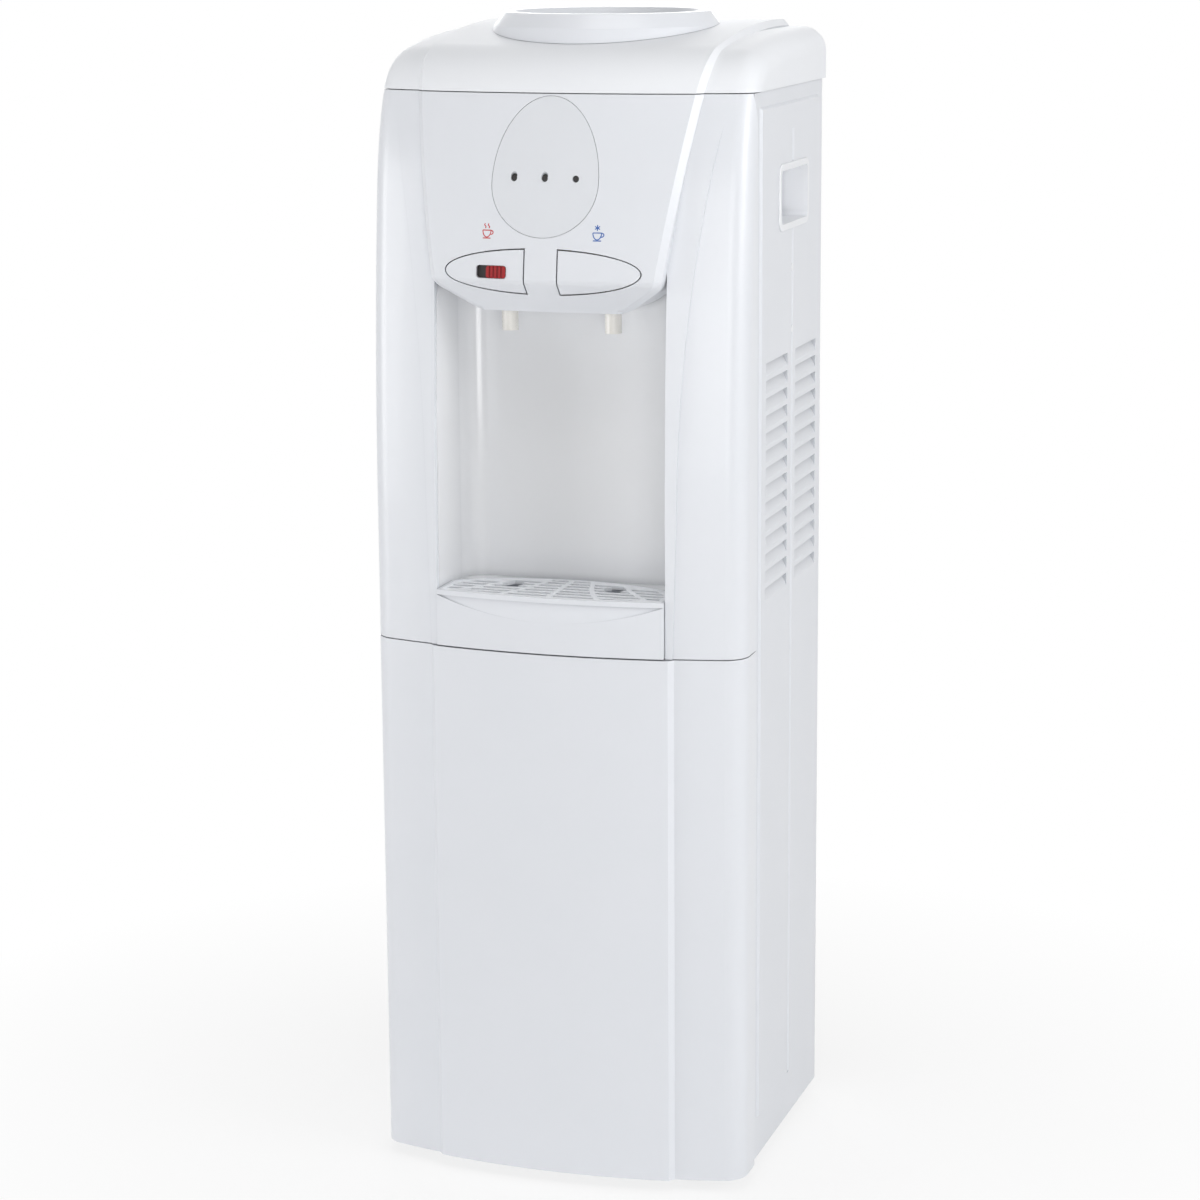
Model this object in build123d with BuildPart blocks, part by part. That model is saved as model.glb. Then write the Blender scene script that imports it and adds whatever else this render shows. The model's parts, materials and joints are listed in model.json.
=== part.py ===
"""Free-standing hot and cold water dispenser. Millimetres, +Z up, origin on the floor under its middle."""
import os
from math import acos, asin, cos, degrees, radians, sin, sqrt

from build123d import *

os.makedirs("parts", exist_ok=True)

# Cabinet
WIDTH = 310.0
BODY_DEPTH = 272.0  # from the front datum to the rear edge of the side panels
FOOT_HEIGHT = 10.0
MID_SEAM = 443.0  # height of the seam between the two front panels
LID_SEAM = 880.0  # height of the seam under the lid
SEAM_GAP = 0.8
BOW_RADIUS = 560.0  # plan radius of the bowed front
CORNER_RADIUS = 20.0
WALL = 3.0  # moulded wall
SHEET = 1.0  # sheet steel
FIT = 0.3  # clearance between pieces that lie beside each other
SIDE_FRONT = 61.0  # depth at which the side panels begin

# Side profile of the pillars and the lid: depth behind the front datum, height over the lid seam
PILLAR_PROFILE = [(3.0, -320.0), (16.0, -70.0), (33.0, 0.0), (72.0, 32.0)]
PILLAR_CROWN = 42.0  # height of the lid's level top over its seam
FACET_PROFILE = [(1.4, -320.0), (14.2, -70.0), (31.5, -8.0)]
CREASE_FOOT = 100.5  # half width of the raised pillar facet at the mid seam
CREASE_KNEE = (103.5, -320.0)
CREASE_MIDDLE = (113.0, -155.0)
CREASE_TIP = (135.0, -13.0)

# Raised shield with the cowl below it
LIP_REACH = 7.0  # cowl lip ahead of the front datum
LIP_RISE = 25.0  # lip above the cowl's floor
LIP_RUN = 23.0  # how far the underside runs back from the lip
LIP_LEAN = 6.0
LIP_ROUND = 6.0
COWL_DROP = 167.5  # cowl's floor below the lid seam
LIP_INNER_RISE = 0.4  # rise of the hollow cowl's inner lip, for each unit of wall
SHIELD_PROFILE = [(27.0, 0.0), (68.0, 34.5), (BODY_DEPTH, 46.0)]
SHIELD_TOE = 60.0  # half width of the flat part of the cowl's lower edge
SHIELD_HIP = 93.0  # half width at the cowl's lower corners
SHIELD_HIP_RISE = 21.0
SHIELD_TOP = 126.0  # half width above the lid
SHIELD_OVER = 60.0
TOE_ROUND = 34.0
HIP_ROUND = 14.0
BEVEL = 5.0

# Lower front panel
STRIP_SETBACK = 2.5
CENTRE_REACH = 1.5
CENTRE_HALF = 101.5
CENTRE_BEVEL = 4.0
RETURN_FLANGE = 14.0

# Dispensing bay and drip tray
BAY_HALF = 95.0
BAY_BACK = 85.0
BAY_ROUND = 18.0
BAY_CLEAR = 38.0  # opening in the pillars reaches this far above the cowl's floor
LINER_WALL = 2.5
TRAY_HEIGHT = 46.0
TRAY_SIDE_DEPTH = 44.0
TRAY_BACK = 72.0
TRAY_WALL = 2.0
TRAY_CLEAR = 0.6
GRILLE_THICK = 3.0
TRAY_LIP = 4.0  # lip along the tray's front above the finger scoop
SCOOP_DROP = 20.0
SCOOP_DEPTH = 1.6
GRILLE_ROW = 9.4
GRILLE_SLOT = 5.2
GRILLE_RIB = 4.0
GRILLE_BORDER = 6.0
GRILLE_FAN = [  # three points, as X and depth, on each curved rib of one half
    [(45.6, -4.0), (25.6, 38.0), (15.0, 82.0)],
    [(94.5, -4.0), (58.3, 39.0), (37.0, 82.0)],
    [(115.0, 10.0), (84.0, 41.0), (62.8, 82.0)],
]
DRAIN_HOLE = 8.8
TAP_X = 42.7
TAP_Y = 45.0

# Buttons, rod and child lock
BUTTON_DROP = 134.5  # middle of the buttons below the lid seam
BUTTON_HALF = 80.0
BUTTON_RISE = 18.5
BUTTON_GAP = 1.1
BUTTON_SKIN = 3.0
STRIP_HALF = 12.9  # fixed strip between the buttons
ROD_DROP = 111.0
ROD_DEPTH = 9.0
ROD_RADIUS = 2.0
ROD_HALF = 80.0
ROD_CLEAR = 0.05
BARREL_RADIUS = 4.5
BARREL_WIDTH = 8.0
BARREL_PLACES = (26.0, 54.0)
ARM_RISE = 9.0  # root of the hinge arms above the middle of the buttons
ARM_RADIUS = 1.8
LUG_X = 75.0
LUG_WIDTH = 7.0
NOSE_WIDTH = 6.0
NOSE_HEIGHT = 4.5
LOCK_CENTRE = -40.5
LOCK_RISE = -0.5  # child lock slot, against the middle of the buttons
LOCK_SLOT = (25.0, 10.0)
LOCK_KNOB = (16.2, 9.2)
LOCK_PLATE = (34.0, 12.0)
LOCK_PLATE_THICK = 1.5
LOCK_PROUD = 0.8

# Indicator panel with its lamps
EGG_HALF = 43.0
EGG_MIDDLE = -67.0  # widest level, against the lid seam
EGG_UP = 65.0
EGG_DOWN = 41.0
EGG_GAP = 0.4
EGG_THICK = 2.0
EGG_LEDGE = 4.0
LAMP_DROP = 63.5
LAMP_PITCH = 25.0
LAMP_RADIUS = 2.6
LAMP_SINK = 1.6
SCOOP_TILT = 52.0
BOARD_SIZE = (74.0, 1.6, 24.0)
BOARD_DEPTH = 15.0
POST_RADIUS = 2.5
POST_PLACE = 33.0

# Taps
NOZZLE_RADIUS = 6.5
NOZZLE_BORE = 4.5
NOZZLE_DROP = 18.5
TAP_BODY_RADIUS = 8.0
TAP_BODY_HEIGHT = 44.0
VALVE_RISE = 22.0  # valve axis above the cowl's floor
VALVE_RADIUS = 7.5
VALVE_FRONT = 24.0
VALVE_BACK = 54.0
BARB_RADIUS = 4.5
BARB_END = 66.0
STEM_RADIUS = 3.4
STEM_CLEAR = 0.05
STEM_HEAD_RADIUS = 6.0
STEM_HEAD = 2.0
STEM_FRONT = 14.0
STEM_END = 40.0
STEM_BORE_END = 46.0
SPRING_WIRE = 1.2

# Side panels
RIM_THICK = 1.2
FIELD_RAISE = 2.0
FIELD_FRONT = 76.0
FIELD_REAR = 256.0
FIELD_FOOT = 45.0
FIELD_HEAD = 12.0  # field stops this far under the lid seam
PANEL_FLANGE = 14.0
BEAD_WIDTH = 6.0
BEAD_DEPTH = 1.5
BEAD_Y = 171.0
BEAD_HEAD = 27.0
LOUVRE_COUNT = 14
LOUVRE_PITCH = 13.9
LOUVRE_FOOT = 477.0
LOUVRE_HEIGHT = 10.0
LOUVRE_DEPTH = 5.0
LOUVRE_LENGTH = 68.0
LOUVRE_COLUMNS = (124.0, 215.0)
PLUG_DROPS = (145.0, 195.0)
PLUG_RADIUS = 3.0
GRIP_Y = 173.0
GRIP_DROP = 86.5
GRIP_HOLE = (86.0, 47.0)
GRIP_RIM = 3.0
GRIP_DEPTH = 24.0
GRIP_WALL = 2.0
GRIP_ROUND = 6.0

# Lid, collar and water tanks
COLLAR_Y = 167.0
COLLAR_RISE = 58.0  # rim of the collar above the lid seam
COLLAR_RIM = 83.0
COLLAR_FLARE = 16.0
COLLAR_WALL = 3.0
COLLAR_FUNNEL = 56.0  # bore radius of the bottle seat
SPIGOT_DROP = 22.0
SEAT_RISE = 31.0
SEAT_HOLE = 62.0
LID_HOLE = 80.5
SHELF_DROP = 132.0
SHELF_THICK = 1.5
SHELF_FRONT = 95.0
SHELF_REAR = 250.0
SHELF_FLANGE = 8.0
TANK_RADIUS = 62.0
TANK_WALL = 1.0
TANK_RIM = 74.0
TANK_RISE = 18.0  # top of the tank above the lid seam
FOAM_RADIUS = 80.0
FOAM_FLOOR = 16.0
COIL_TUBE = 3.0
COIL_PITCH = 13.0
COIL_TURNS = 7
BAFFLE_RISE = 86.0
BAFFLE_THICK = 2.0
BAFFLE_TUBE = 8.0
HOT_TANK_Y = 180.0
HOT_TANK_RADIUS = 48.0
HOT_TANK_WALL = 1.2
HOT_TANK_TOP = 58.0  # below the shelf
HOT_TANK_HEIGHT = 130.0
JACKET_THICK = 9.0
STRAP_WIDTH = 30.0
STRAP_THICK = 1.5
STRAP_FOOT = 16.0
HOSE_RADIUS = 5.0
HOSE_BEND = 11.0
HOSE_HOLE = 5.6
FEED_PLACE = (20.0, 190.0)
COLD_RISER = (30.0, 130.0)
HOT_RISER = (-30.0, 160.0)

# Cooling circuit
CONDENSER_REACH = 28.0  # condenser behind the side panels
PAN_FLANGE = 18.0
FOOT_RADIUS = 15.0
FOOT_X = 118.0
FOOT_FRONT = 55.0
FOOT_REAR = 245.0
COMPRESSOR_Y = 188.0
COMPRESSOR_RADIUS = 70.0
COMPRESSOR_HEIGHT = 165.0
MOTOR_SPACE = (55.0, 10.0, 140.0)  # radius, and its foot and head over the plate
MOTOR_NECK = 30.0
DOME_FOOT = 30.0
DOME_HEAD = 45.0
WELD_RISE = 85.0
WELD_SIZE = (3.0, 5.0)
TERMINAL = (18.0, 44.0, 52.0)
TERMINAL_RISE = 25.0
COMPRESSOR_PLATE = (196.0, 116.0, 3.0)
GROMMET_RADIUS = 9.0
GROMMET_NECK = 5.0
GROMMET_HEAD = 7.5
GROMMET_HEIGHT = 15.0
GROMMET_PLACES = (164.0, 84.0)
LINE_RADIUS = 3.0
STUB_REACH = 86.0
STUB_RADIUS = 4.5
LINE_BEND = 12.0
DISCHARGE_X = 130.0
DISCHARGE_Y = 235.0
SUCTION_X = -112.0
SUCTION_PLACE = (-66.0, 201.0)
CAPILLARY_PLACE = (66.0, 150.0)
LINE_DROP = 25.0  # lines cross under the shelf at this depth
STUB_RISE = 130.0
CONDENSER_HALF = 112.0
CONDENSER_FOOT = 304.0
CONDENSER_RUNS = 10
CONDENSER_PITCH = 52.0
CONDENSER_TUBE = 2.5
CONDENSER_TAIL = 250.0  # depth at which its tails end inside the cabinet
CONDENSER_BEND = 10.0
CLIP_X = 80.0
CLIP_SIZE = (6.0, 10.0)
CLIP_ROWS = (1, 8)
WIRE = 1.4
WIRE_PITCH = 10.0
WIRE_COUNT = 18
WIRE_OVER = 10.0
WELD_GAP = 0.05
DRIER_RADIUS = 9.0
DRIER_LENGTH = 58.0
CAPILLARY_RADIUS = 1.2

# Back of the cabinet
REAR_FOOT = 250.0
SCREW_HEAD = 3.6
SCREW_HEAD_HEIGHT = 2.0
SCREW_SHANK = 1.6
SCREW_INSET = 8.0
SCREW_LENGTH = 6.0
SCREW_ROWS = 4
SCREW_MARGIN = 40.0
SWITCH_X = 72.0
SWITCH_DROP = 42.0
SWITCH_PLATE = (60.0, 36.0, 3.0)
SWITCH_HOLE = (14.0, 20.0)
SWITCH_PITCH = 24.0
ROCKER_RADIUS = 9.6
ROCKER_TILT = 8.0
ROCKER_FACE = 6.2  # least distance from the axis to the face
ROCKER_AXIS = 268.0
ROCKER_PIN = 1.5
HOUSING = (54.0, 30.0)
HOUSING_FRONT = 254.0
OUTLET_Z = 268.0
DRAIN_Y = 215.0
DRAIN_RADIUS = 6.0
DRAIN_END = 16.0  # drain pipe's end behind the side panels
CAP_RADIUS = 11.0
CAP_LENGTH = 18.0
CAP_CLEAR = 0.06
CAP_BORE_DEPTH = 12.0
GLAND_X = 92.0
GLAND_RADIUS = 9.0
GLAND_BORE = 4.0
GLAND_FLANGE = 12.0
GLAND_THICK = 3.0
GLAND_LENGTH = 9.0

# Places worked out from the sizes above
FRONT = (LIP_REACH - BODY_DEPTH - CONDENSER_REACH) / 2
REAR = FRONT + BODY_DEPTH
REACH = WIDTH + BODY_DEPTH + LID_SEAM  # longer than anything that it cuts
BOW_CENTRE = FRONT + BOW_RADIUS
BOW_AXIS = Axis((0, BOW_CENTRE, 0), (0, 0, 1))
COWL_FLOOR = LID_SEAM - COWL_DROP
BAY_TOP = COWL_FLOOR + BAY_CLEAR
LIP_Z = COWL_FLOOR + LIP_RISE
LINER_FLOOR = MID_SEAM + SEAM_GAP + LINER_WALL
TRAY_TOP = MID_SEAM + TRAY_HEIGHT
LINER_TOP = COWL_FLOOR + SHIELD_HIP_RISE + LINER_WALL
BUTTON_Z = LID_SEAM - BUTTON_DROP
ROD_Z = LID_SEAM - ROD_DROP
LOCK_Z = BUTTON_Z + LOCK_RISE
LOCK_TRAVEL = LOCK_SLOT[0] - LOCK_KNOB[0] - 2 * FIT
KNOB_CENTRE = LOCK_CENTRE + LOCK_TRAVEL / 2
VALVE_Z = COWL_FLOOR + VALVE_RISE
LAMP_Z = LID_SEAM - LAMP_DROP
EGG_Z = LID_SEAM + EGG_MIDDLE
FIELD_X = WIDTH / 2 - RIM_THICK
MARGIN_X = FIELD_X - FIELD_RAISE
INNER_X = MARGIN_X - SHEET
GRIP_Z = LID_SEAM - GRIP_DROP
SEAT_Z = LID_SEAM + SEAT_RISE
RIM_Z = LID_SEAM + COLLAR_RISE
SHELF_Z = LID_SEAM - SHELF_DROP
TANK_TOP = LID_SEAM + TANK_RISE
TANK_FOOT = SHELF_Z + FOAM_FLOOR
HOT_TOP = SHELF_Z - HOT_TANK_TOP
HOT_FOOT = HOT_TOP - HOT_TANK_HEIGHT
JACKET_RADIUS = HOT_TANK_RADIUS + JACKET_THICK
JACKET_FOOT = HOT_FOOT - JACKET_THICK
PAN_TOP = FOOT_HEIGHT + SHEET
PLATE_Z = PAN_TOP + GROMMET_HEIGHT
STUB_Z = PLATE_Z + STUB_RISE
REAR_OUTER = BODY_DEPTH - SHEET
REAR_INNER = REAR_OUTER - SHEET
CONDENSER_Y = BODY_DEPTH + CONDENSER_REACH - WIRE - WELD_GAP - CONDENSER_TUBE
CONDENSER_HEAD = CONDENSER_FOOT + (CONDENSER_RUNS - 1) * CONDENSER_PITCH
SWITCH_Z = LID_SEAM - SWITCH_DROP


def back(depth):
    """Y of a depth behind the front datum."""
    return FRONT + depth


def save(piece, name):
    """Label a finished piece and write it."""
    piece.part.label = name
    export_step(piece.part, f"parts/{name}.step")


def block(x, depth, z):
    """Box between pairs of limits, its depths counted from the front datum."""
    with BuildPart() as piece:
        with Locations(((x[0] + x[1]) / 2, back((depth[0] + depth[1]) / 2), (z[0] + z[1]) / 2)):
            Box(x[1] - x[0], depth[1] - depth[0], z[1] - z[0])
    return piece.part


def across(depth, z):
    """Box right across the cabinet."""
    return block((-WIDTH, WIDTH), depth, z)


def upright(radius, place, z):
    """Vertical round bar at a place given as X and depth."""
    with BuildPart() as piece:
        with Locations((place[0], back(place[1]), (z[0] + z[1]) / 2)):
            Cylinder(radius, z[1] - z[0])
    return piece.part


def fore_and_aft(radius, x, depth, z):
    """Round bar along Y."""
    with BuildPart() as piece:
        with Locations((x, back((depth[0] + depth[1]) / 2), z)):
            Cylinder(radius, depth[1] - depth[0], rotation=(90, 0, 0))
    return piece.part


def crossbar(radius, x, depth, z):
    """Round bar along X."""
    with BuildPart() as piece:
        with Locations(((x[0] + x[1]) / 2, back(depth), z)):
            Cylinder(radius, x[1] - x[0], rotation=(0, 90, 0))
    return piece.part


def tube(points, radius, bend):
    """Round tube along straight runs joined by arcs, through points given as X, depth and Z."""
    route = [(x, back(depth), z) for x, depth, z in points]
    with BuildPart() as piece:
        with BuildLine() as path:
            FilletPolyline(*route, radius=bend)
        with BuildSketch(Plane(path.line @ 0, z_dir=path.line % 0)):
            Circle(radius)
        sweep(path=path.wires()[0])
    return piece.part


def profile_points(profile, inset):
    """Points of a side profile, moved inward by inset."""
    return [(back(depth + inset), LID_SEAM + rise - inset) for depth, rise in profile]


def levelled(path, top):
    """Arc that carries a rising path on until it runs level at a height."""
    slope = (path % 1).X
    return JernArc(path @ 1, path % 1, (top - (path @ 1).Y) / (1 - slope), -degrees(acos(slope)))


def bowed_form(profile, inset, floor, crown=None):
    """Solid behind a side profile of tangent arcs, turned about the bow axis."""
    points = profile_points(profile, inset)
    start = (points[0][0], floor)
    with BuildPart() as form:
        with BuildSketch(Plane.YZ):
            with BuildLine():
                path = Line(start, points[0])
                for point in points[1:]:
                    path = TangentArc(path @ 1, point, tangent=path % 1)
                if crown:
                    path = levelled(path, LID_SEAM + crown - inset)
                Polyline(path @ 1, (BOW_CENTRE, (path @ 1).Y), (BOW_CENTRE, floor), start)
            make_face()
        revolve(axis=BOW_AXIS)
    return form.part


def cabinet_form(inset):
    """The bowed cabinet with rounded upright corners, moved inward by inset."""
    drum = bowed_form(PILLAR_PROFILE, inset, FOOT_HEIGHT, PILLAR_CROWN)
    half = WIDTH / 2 - inset
    cell = block((-half, half), (-REACH, BODY_DEPTH - inset), (FOOT_HEIGHT, LID_SEAM + REACH))
    with BuildPart() as form:
        add(drum)
        add(cell, mode=Mode.INTERSECT)
        rims = form.faces().filter_by(Plane.YZ).edges()
        rims = rims.filter_by(lambda edge: edge.center().Y < REAR - inset - SHEET)
        fillet(rims.filter_by(lambda edge: edge.center().Z > FOOT_HEIGHT + SHEET), CORNER_RADIUS - inset)
    return form.part


def shield_body(inset):
    """Solid behind the shield's front, with the cowl's lip and slanted underside."""
    lip = (back(inset - LIP_REACH), LIP_Z + LIP_INNER_RISE * inset)
    toe_z = COWL_FLOOR + inset
    toe = (lip[0] + LIP_RUN * (lip[1] - toe_z) / LIP_RISE, toe_z)
    points = profile_points(SHIELD_PROFILE, inset)
    lean = radians(LIP_LEAN)
    with BuildPart() as form:
        with BuildSketch(Plane.YZ) as side:
            with BuildLine():
                Line(toe, lip)
                path = TangentArc(lip, points[0], tangent=(sin(lean), cos(lean)))
                for point in points[1:]:
                    path = TangentArc(path @ 1, point, tangent=path % 1)
                Polyline(path @ 1, (BOW_CENTRE, (path @ 1).Y), (BOW_CENTRE, toe_z), toe)
            make_face()
            fillet(side.vertices().sort_by(Axis.X)[0], LIP_ROUND - inset / 2)
        revolve(axis=BOW_AXIS)
    return form.part


def shield_form(inset, bevel):
    """The raised shield: its body cut to the outline seen from the front, with a bevelled rim."""
    body = shield_body(inset)
    cell = across((-REACH, BODY_DEPTH - inset), (0, LID_SEAM + REACH))
    under = COWL_FLOOR - SHEET
    toe = (SHIELD_TOE, under)
    hip = (SHIELD_HIP, COWL_FLOOR + SHIELD_HIP_RISE)
    crown = LID_SEAM + SHIELD_OVER
    with BuildPart() as form:
        with BuildSketch(Plane.XZ) as outline:
            with BuildLine():
                Polyline((0, under), toe, hip, (SHIELD_TOP, crown), (0, crown), close=True)
            make_face()
            fillet([v for v in outline.vertices() if abs(v.X - toe[0]) < 0.1], TOE_ROUND)
            fillet([v for v in outline.vertices() if abs(v.X - hip[0]) < 0.1], HIP_ROUND)
            mirror(about=Plane.YZ)
            if inset:
                offset(amount=-inset, mode=Mode.REPLACE)
        extrude(amount=REACH, both=True)
        add(body, mode=Mode.INTERSECT)
        add(cell, mode=Mode.INTERSECT)
        if bevel:
            rims = form.edges().filter_by(GeomType.BSPLINE)
            rims = rims.filter_by(lambda edge: edge.center().Y < REAR - SHEET)
            chamfer(rims.filter_by(lambda edge: abs(edge.center().X) > SHIELD_TOE + TOE_ROUND / 2), bevel)
    return form.part


def shield_depth(z, x=0.0):
    """Depth of the shield's front face at a height and a distance from the middle."""
    depth, rise = SHIELD_PROFILE[0]
    run, climb = depth + LIP_REACH, LID_SEAM + rise - LIP_Z
    lean = radians(LIP_LEAN)
    radius = (run**2 + climb**2) / (2 * (run * cos(lean) - climb * sin(lean)))
    turned = asin(sin(lean) + (z - LIP_Z) / radius)
    straight = radius * (cos(lean) - cos(turned)) - LIP_REACH
    return BOW_RADIUS - sqrt((BOW_RADIUS - straight) ** 2 - x**2)


cabinet_outer = cabinet_form(0)
cabinet_inner = cabinet_form(WALL)
cabinet_lining = cabinet_form(WALL + FIT)
shield_outer = shield_form(0, BEVEL)
shield_core = shield_form(WALL, 0)

# Upper front panel: pillars, raised facets beside the bay, shield and cowl in one moulding
facet_body = bowed_form(FACET_PROFILE, 0, FOOT_HEIGHT)
panel_cell = across((-REACH, SIDE_FRONT - SEAM_GAP), (MID_SEAM + SEAM_GAP / 2, LID_SEAM - SEAM_GAP / 2))
bay_opening = block((-BAY_HALF, BAY_HALF), (-REACH, BODY_DEPTH), (0, BAY_TOP))
with BuildPart() as pillar_facets:
    with BuildSketch(Plane.XZ):
        with BuildLine():
            foot = (CREASE_FOOT, MID_SEAM)
            knee = (CREASE_KNEE[0], LID_SEAM + CREASE_KNEE[1])
            middle = (CREASE_MIDDLE[0], LID_SEAM + CREASE_MIDDLE[1])
            tip = (CREASE_TIP[0], LID_SEAM + CREASE_TIP[1])
            Line(foot, knee)
            ThreePointArc(knee, middle, tip)
            Polyline(tip, (0, tip[1]), (0, MID_SEAM), foot)
        make_face()
        mirror(about=Plane.YZ)
    extrude(amount=REACH, both=True)
    add(facet_body, mode=Mode.INTERSECT)

with BuildPart() as head_room:
    add(cabinet_inner)
    add(across((-REACH, REACH), (BAY_TOP, LID_SEAM + REACH)), mode=Mode.INTERSECT)


def bay_plan(grow, z):
    """Plan of the bay at a height: straight sides and a back wall with rounded corners."""
    half = BAY_HALF + grow
    with BuildSketch(Plane.XY.offset(z)) as plan:
        with Locations((0, back((BAY_BACK + grow - SIDE_FRONT) / 2))):
            Rectangle(2 * half, BAY_BACK + grow + SIDE_FRONT)
        fillet(plan.vertices().group_by(Axis.Y)[-1], BAY_ROUND + grow)
    return plan.sketch


with BuildPart() as bay_surround:
    add(across((-SIDE_FRONT, BODY_DEPTH), (0, LINER_TOP + FIT)))
    extrude(bay_plan(-FIT, 0), amount=REACH, mode=Mode.SUBTRACT)

with BuildPart() as cowl_shell:
    add(shield_outer)
    add(across((-REACH, BAY_BACK - FIT), (0, LID_SEAM - SEAM_GAP / 2)), mode=Mode.INTERSECT)
    add(head_room.part, mode=Mode.SUBTRACT)
    add(shield_core, mode=Mode.SUBTRACT)
    add(bay_surround.part, mode=Mode.SUBTRACT)


def egg(grow):
    """Egg outline: a tall half ellipse over a short one."""
    with BuildSketch(Plane.XZ) as outline:
        with BuildLine():
            EllipticalCenterArc((0, EGG_Z), EGG_HALF + grow, EGG_UP + grow, 0, arc_size=180)
            EllipticalCenterArc((0, EGG_Z), EGG_HALF + grow, EGG_DOWN + grow, 180, arc_size=180)
        make_face()
    return outline.sketch


def leaf(side, gap):
    """Half of the ellipse that the two buttons share, seen from the front; side is -1 or 1."""
    with BuildSketch(Plane.XZ) as outline:
        with Locations((0, BUTTON_Z)):
            Ellipse(BUTTON_HALF - gap, BUTTON_RISE - gap)
        with Locations((side * (STRIP_HALF + gap - BUTTON_HALF), BUTTON_Z)):
            Rectangle(2 * BUTTON_HALF, 4 * BUTTON_RISE, mode=Mode.SUBTRACT)
    return outline.sketch


def hinge_arm(x, width, root_z, radius):
    """Arm from the shield's skin to an eye round the rod."""
    with BuildPart() as arm:
        with BuildSketch(Plane.YZ.offset(x)):
            with Locations((back(ROD_DEPTH), ROD_Z)):
                Circle(radius)
            with Locations((back(shield_depth(root_z, x) + WALL / 2), root_z)):
                Circle(WALL / 3)
            make_hull()
        extrude(amount=width / 2, both=True)
    return arm.part


with BuildPart() as egg_rebate:
    extrude(egg(EGG_GAP), amount=REACH, both=True)
    add(shield_body(EGG_THICK), mode=Mode.SUBTRACT)

lugs = [hinge_arm(x, LUG_WIDTH, ROD_Z + 4 * BARREL_RADIUS, BARREL_RADIUS) for x in (-LUG_X, LUG_X)]
lugs.append(hinge_arm(0, LUG_WIDTH, BUTTON_Z, BARREL_RADIUS))
with BuildPart() as upper_front_panel:
    add(cabinet_outer)
    add(pillar_facets.part)
    add(panel_cell, mode=Mode.INTERSECT)
    add(cabinet_inner, mode=Mode.SUBTRACT)
    add(bay_opening, mode=Mode.SUBTRACT)
    add(shield_core, mode=Mode.SUBTRACT)
    add(cowl_shell.part)
    add(egg_rebate.part, mode=Mode.SUBTRACT)
    extrude(egg(-EGG_LEDGE), amount=REACH, both=True, mode=Mode.SUBTRACT)
    for side in (-1, 1):
        extrude(leaf(side, 0), amount=REACH, both=True, mode=Mode.SUBTRACT)
        nozzle_hole = upright(NOZZLE_RADIUS + FIT, (side * TAP_X, TAP_Y), (0, COWL_FLOOR + 2 * WALL))
        add(nozzle_hole, mode=Mode.SUBTRACT)
    add(lugs)
    add(crossbar(ROD_RADIUS, (-ROD_HALF, ROD_HALF), ROD_DEPTH, ROD_Z), mode=Mode.SUBTRACT)
save(upper_front_panel, "upper_front_panel")

# Hinge rod that both buttons swing on
with BuildPart() as button_rod:
    add(crossbar(ROD_RADIUS, (-ROD_HALF, ROD_HALF), ROD_DEPTH, ROD_Z))
    chamfer(button_rod.edges(), ROD_RADIUS / 4)
save(button_rod, "button_rod")

# Buttons: pieces of the cowl's own skin on two hinge arms, with a nose that pushes the valve stem
skin_outer = shield_body(0)
skin_inner = shield_body(BUTTON_SKIN)


def button_arm(x):
    """Hooked arm: straight back from the button's skin, then up to an eye on the rod."""
    root_z = BUTTON_Z + ARM_RISE
    with BuildPart() as arm:
        for eye, radius in (((shield_depth(root_z, x) + WALL / 2, root_z), ARM_RADIUS / 2),
                            ((ROD_DEPTH, ROD_Z), BARREL_RADIUS)):
            with BuildSketch(Plane.YZ.offset(x)):
                with Locations((back(ROD_DEPTH), root_z)):
                    Circle(ARM_RADIUS)
                with Locations((back(eye[0]), eye[1])):
                    Circle(radius)
                make_hull()
            extrude(amount=BARREL_WIDTH / 2, both=True)
    return arm.part


def button(side):
    """Leaf-shaped button; side is -1 for hot and 1 for cold."""
    arms = [button_arm(side * x) for x in BARREL_PLACES]
    reach = STEM_FRONT - FIT
    nose = (NOSE_WIDTH, NOSE_HEIGHT)
    with BuildPart() as piece:
        extrude(leaf(side, BUTTON_GAP), amount=BODY_DEPTH, both=True)
        add(skin_outer, mode=Mode.INTERSECT)
        add(skin_inner, mode=Mode.SUBTRACT)
        add(arms)
        add(block((side * TAP_X - nose[0] / 2, side * TAP_X + nose[0] / 2),
                  (BUTTON_SKIN - WALL / 2, reach), (VALVE_Z - nose[1] / 2, VALVE_Z + nose[1] / 2)))
        add(crossbar(ROD_RADIUS + ROD_CLEAR, (-ROD_HALF, ROD_HALF), ROD_DEPTH, ROD_Z), mode=Mode.SUBTRACT)
        if side < 0:
            with BuildSketch(Plane.XZ):
                with Locations((LOCK_CENTRE, LOCK_Z)):
                    RectangleRounded(*LOCK_SLOT, LOCK_SLOT[1] / 4)
            extrude(amount=REACH, both=True, mode=Mode.SUBTRACT)
    return piece


save(button(-1), "hot_button")
save(button(1), "cold_button")

# Child lock: ribbed catch in the hot button's slot, held by a plate behind the skin
plate_front = shield_body(BUTTON_SKIN + FIT)
plate_back = shield_body(BUTTON_SKIN + FIT + LOCK_PLATE_THICK)
knob_front = shield_body(-LOCK_PROUD)
knob_groove = shield_body(0)
with BuildPart() as lock_plate:
    with BuildSketch(Plane.XZ):
        with Locations((KNOB_CENTRE, LOCK_Z)):
            RectangleRounded(*LOCK_PLATE, LOCK_SLOT[1] / 4)
    extrude(amount=BODY_DEPTH, both=True)
    add(plate_front, mode=Mode.INTERSECT)
    add(plate_back, mode=Mode.SUBTRACT)

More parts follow.
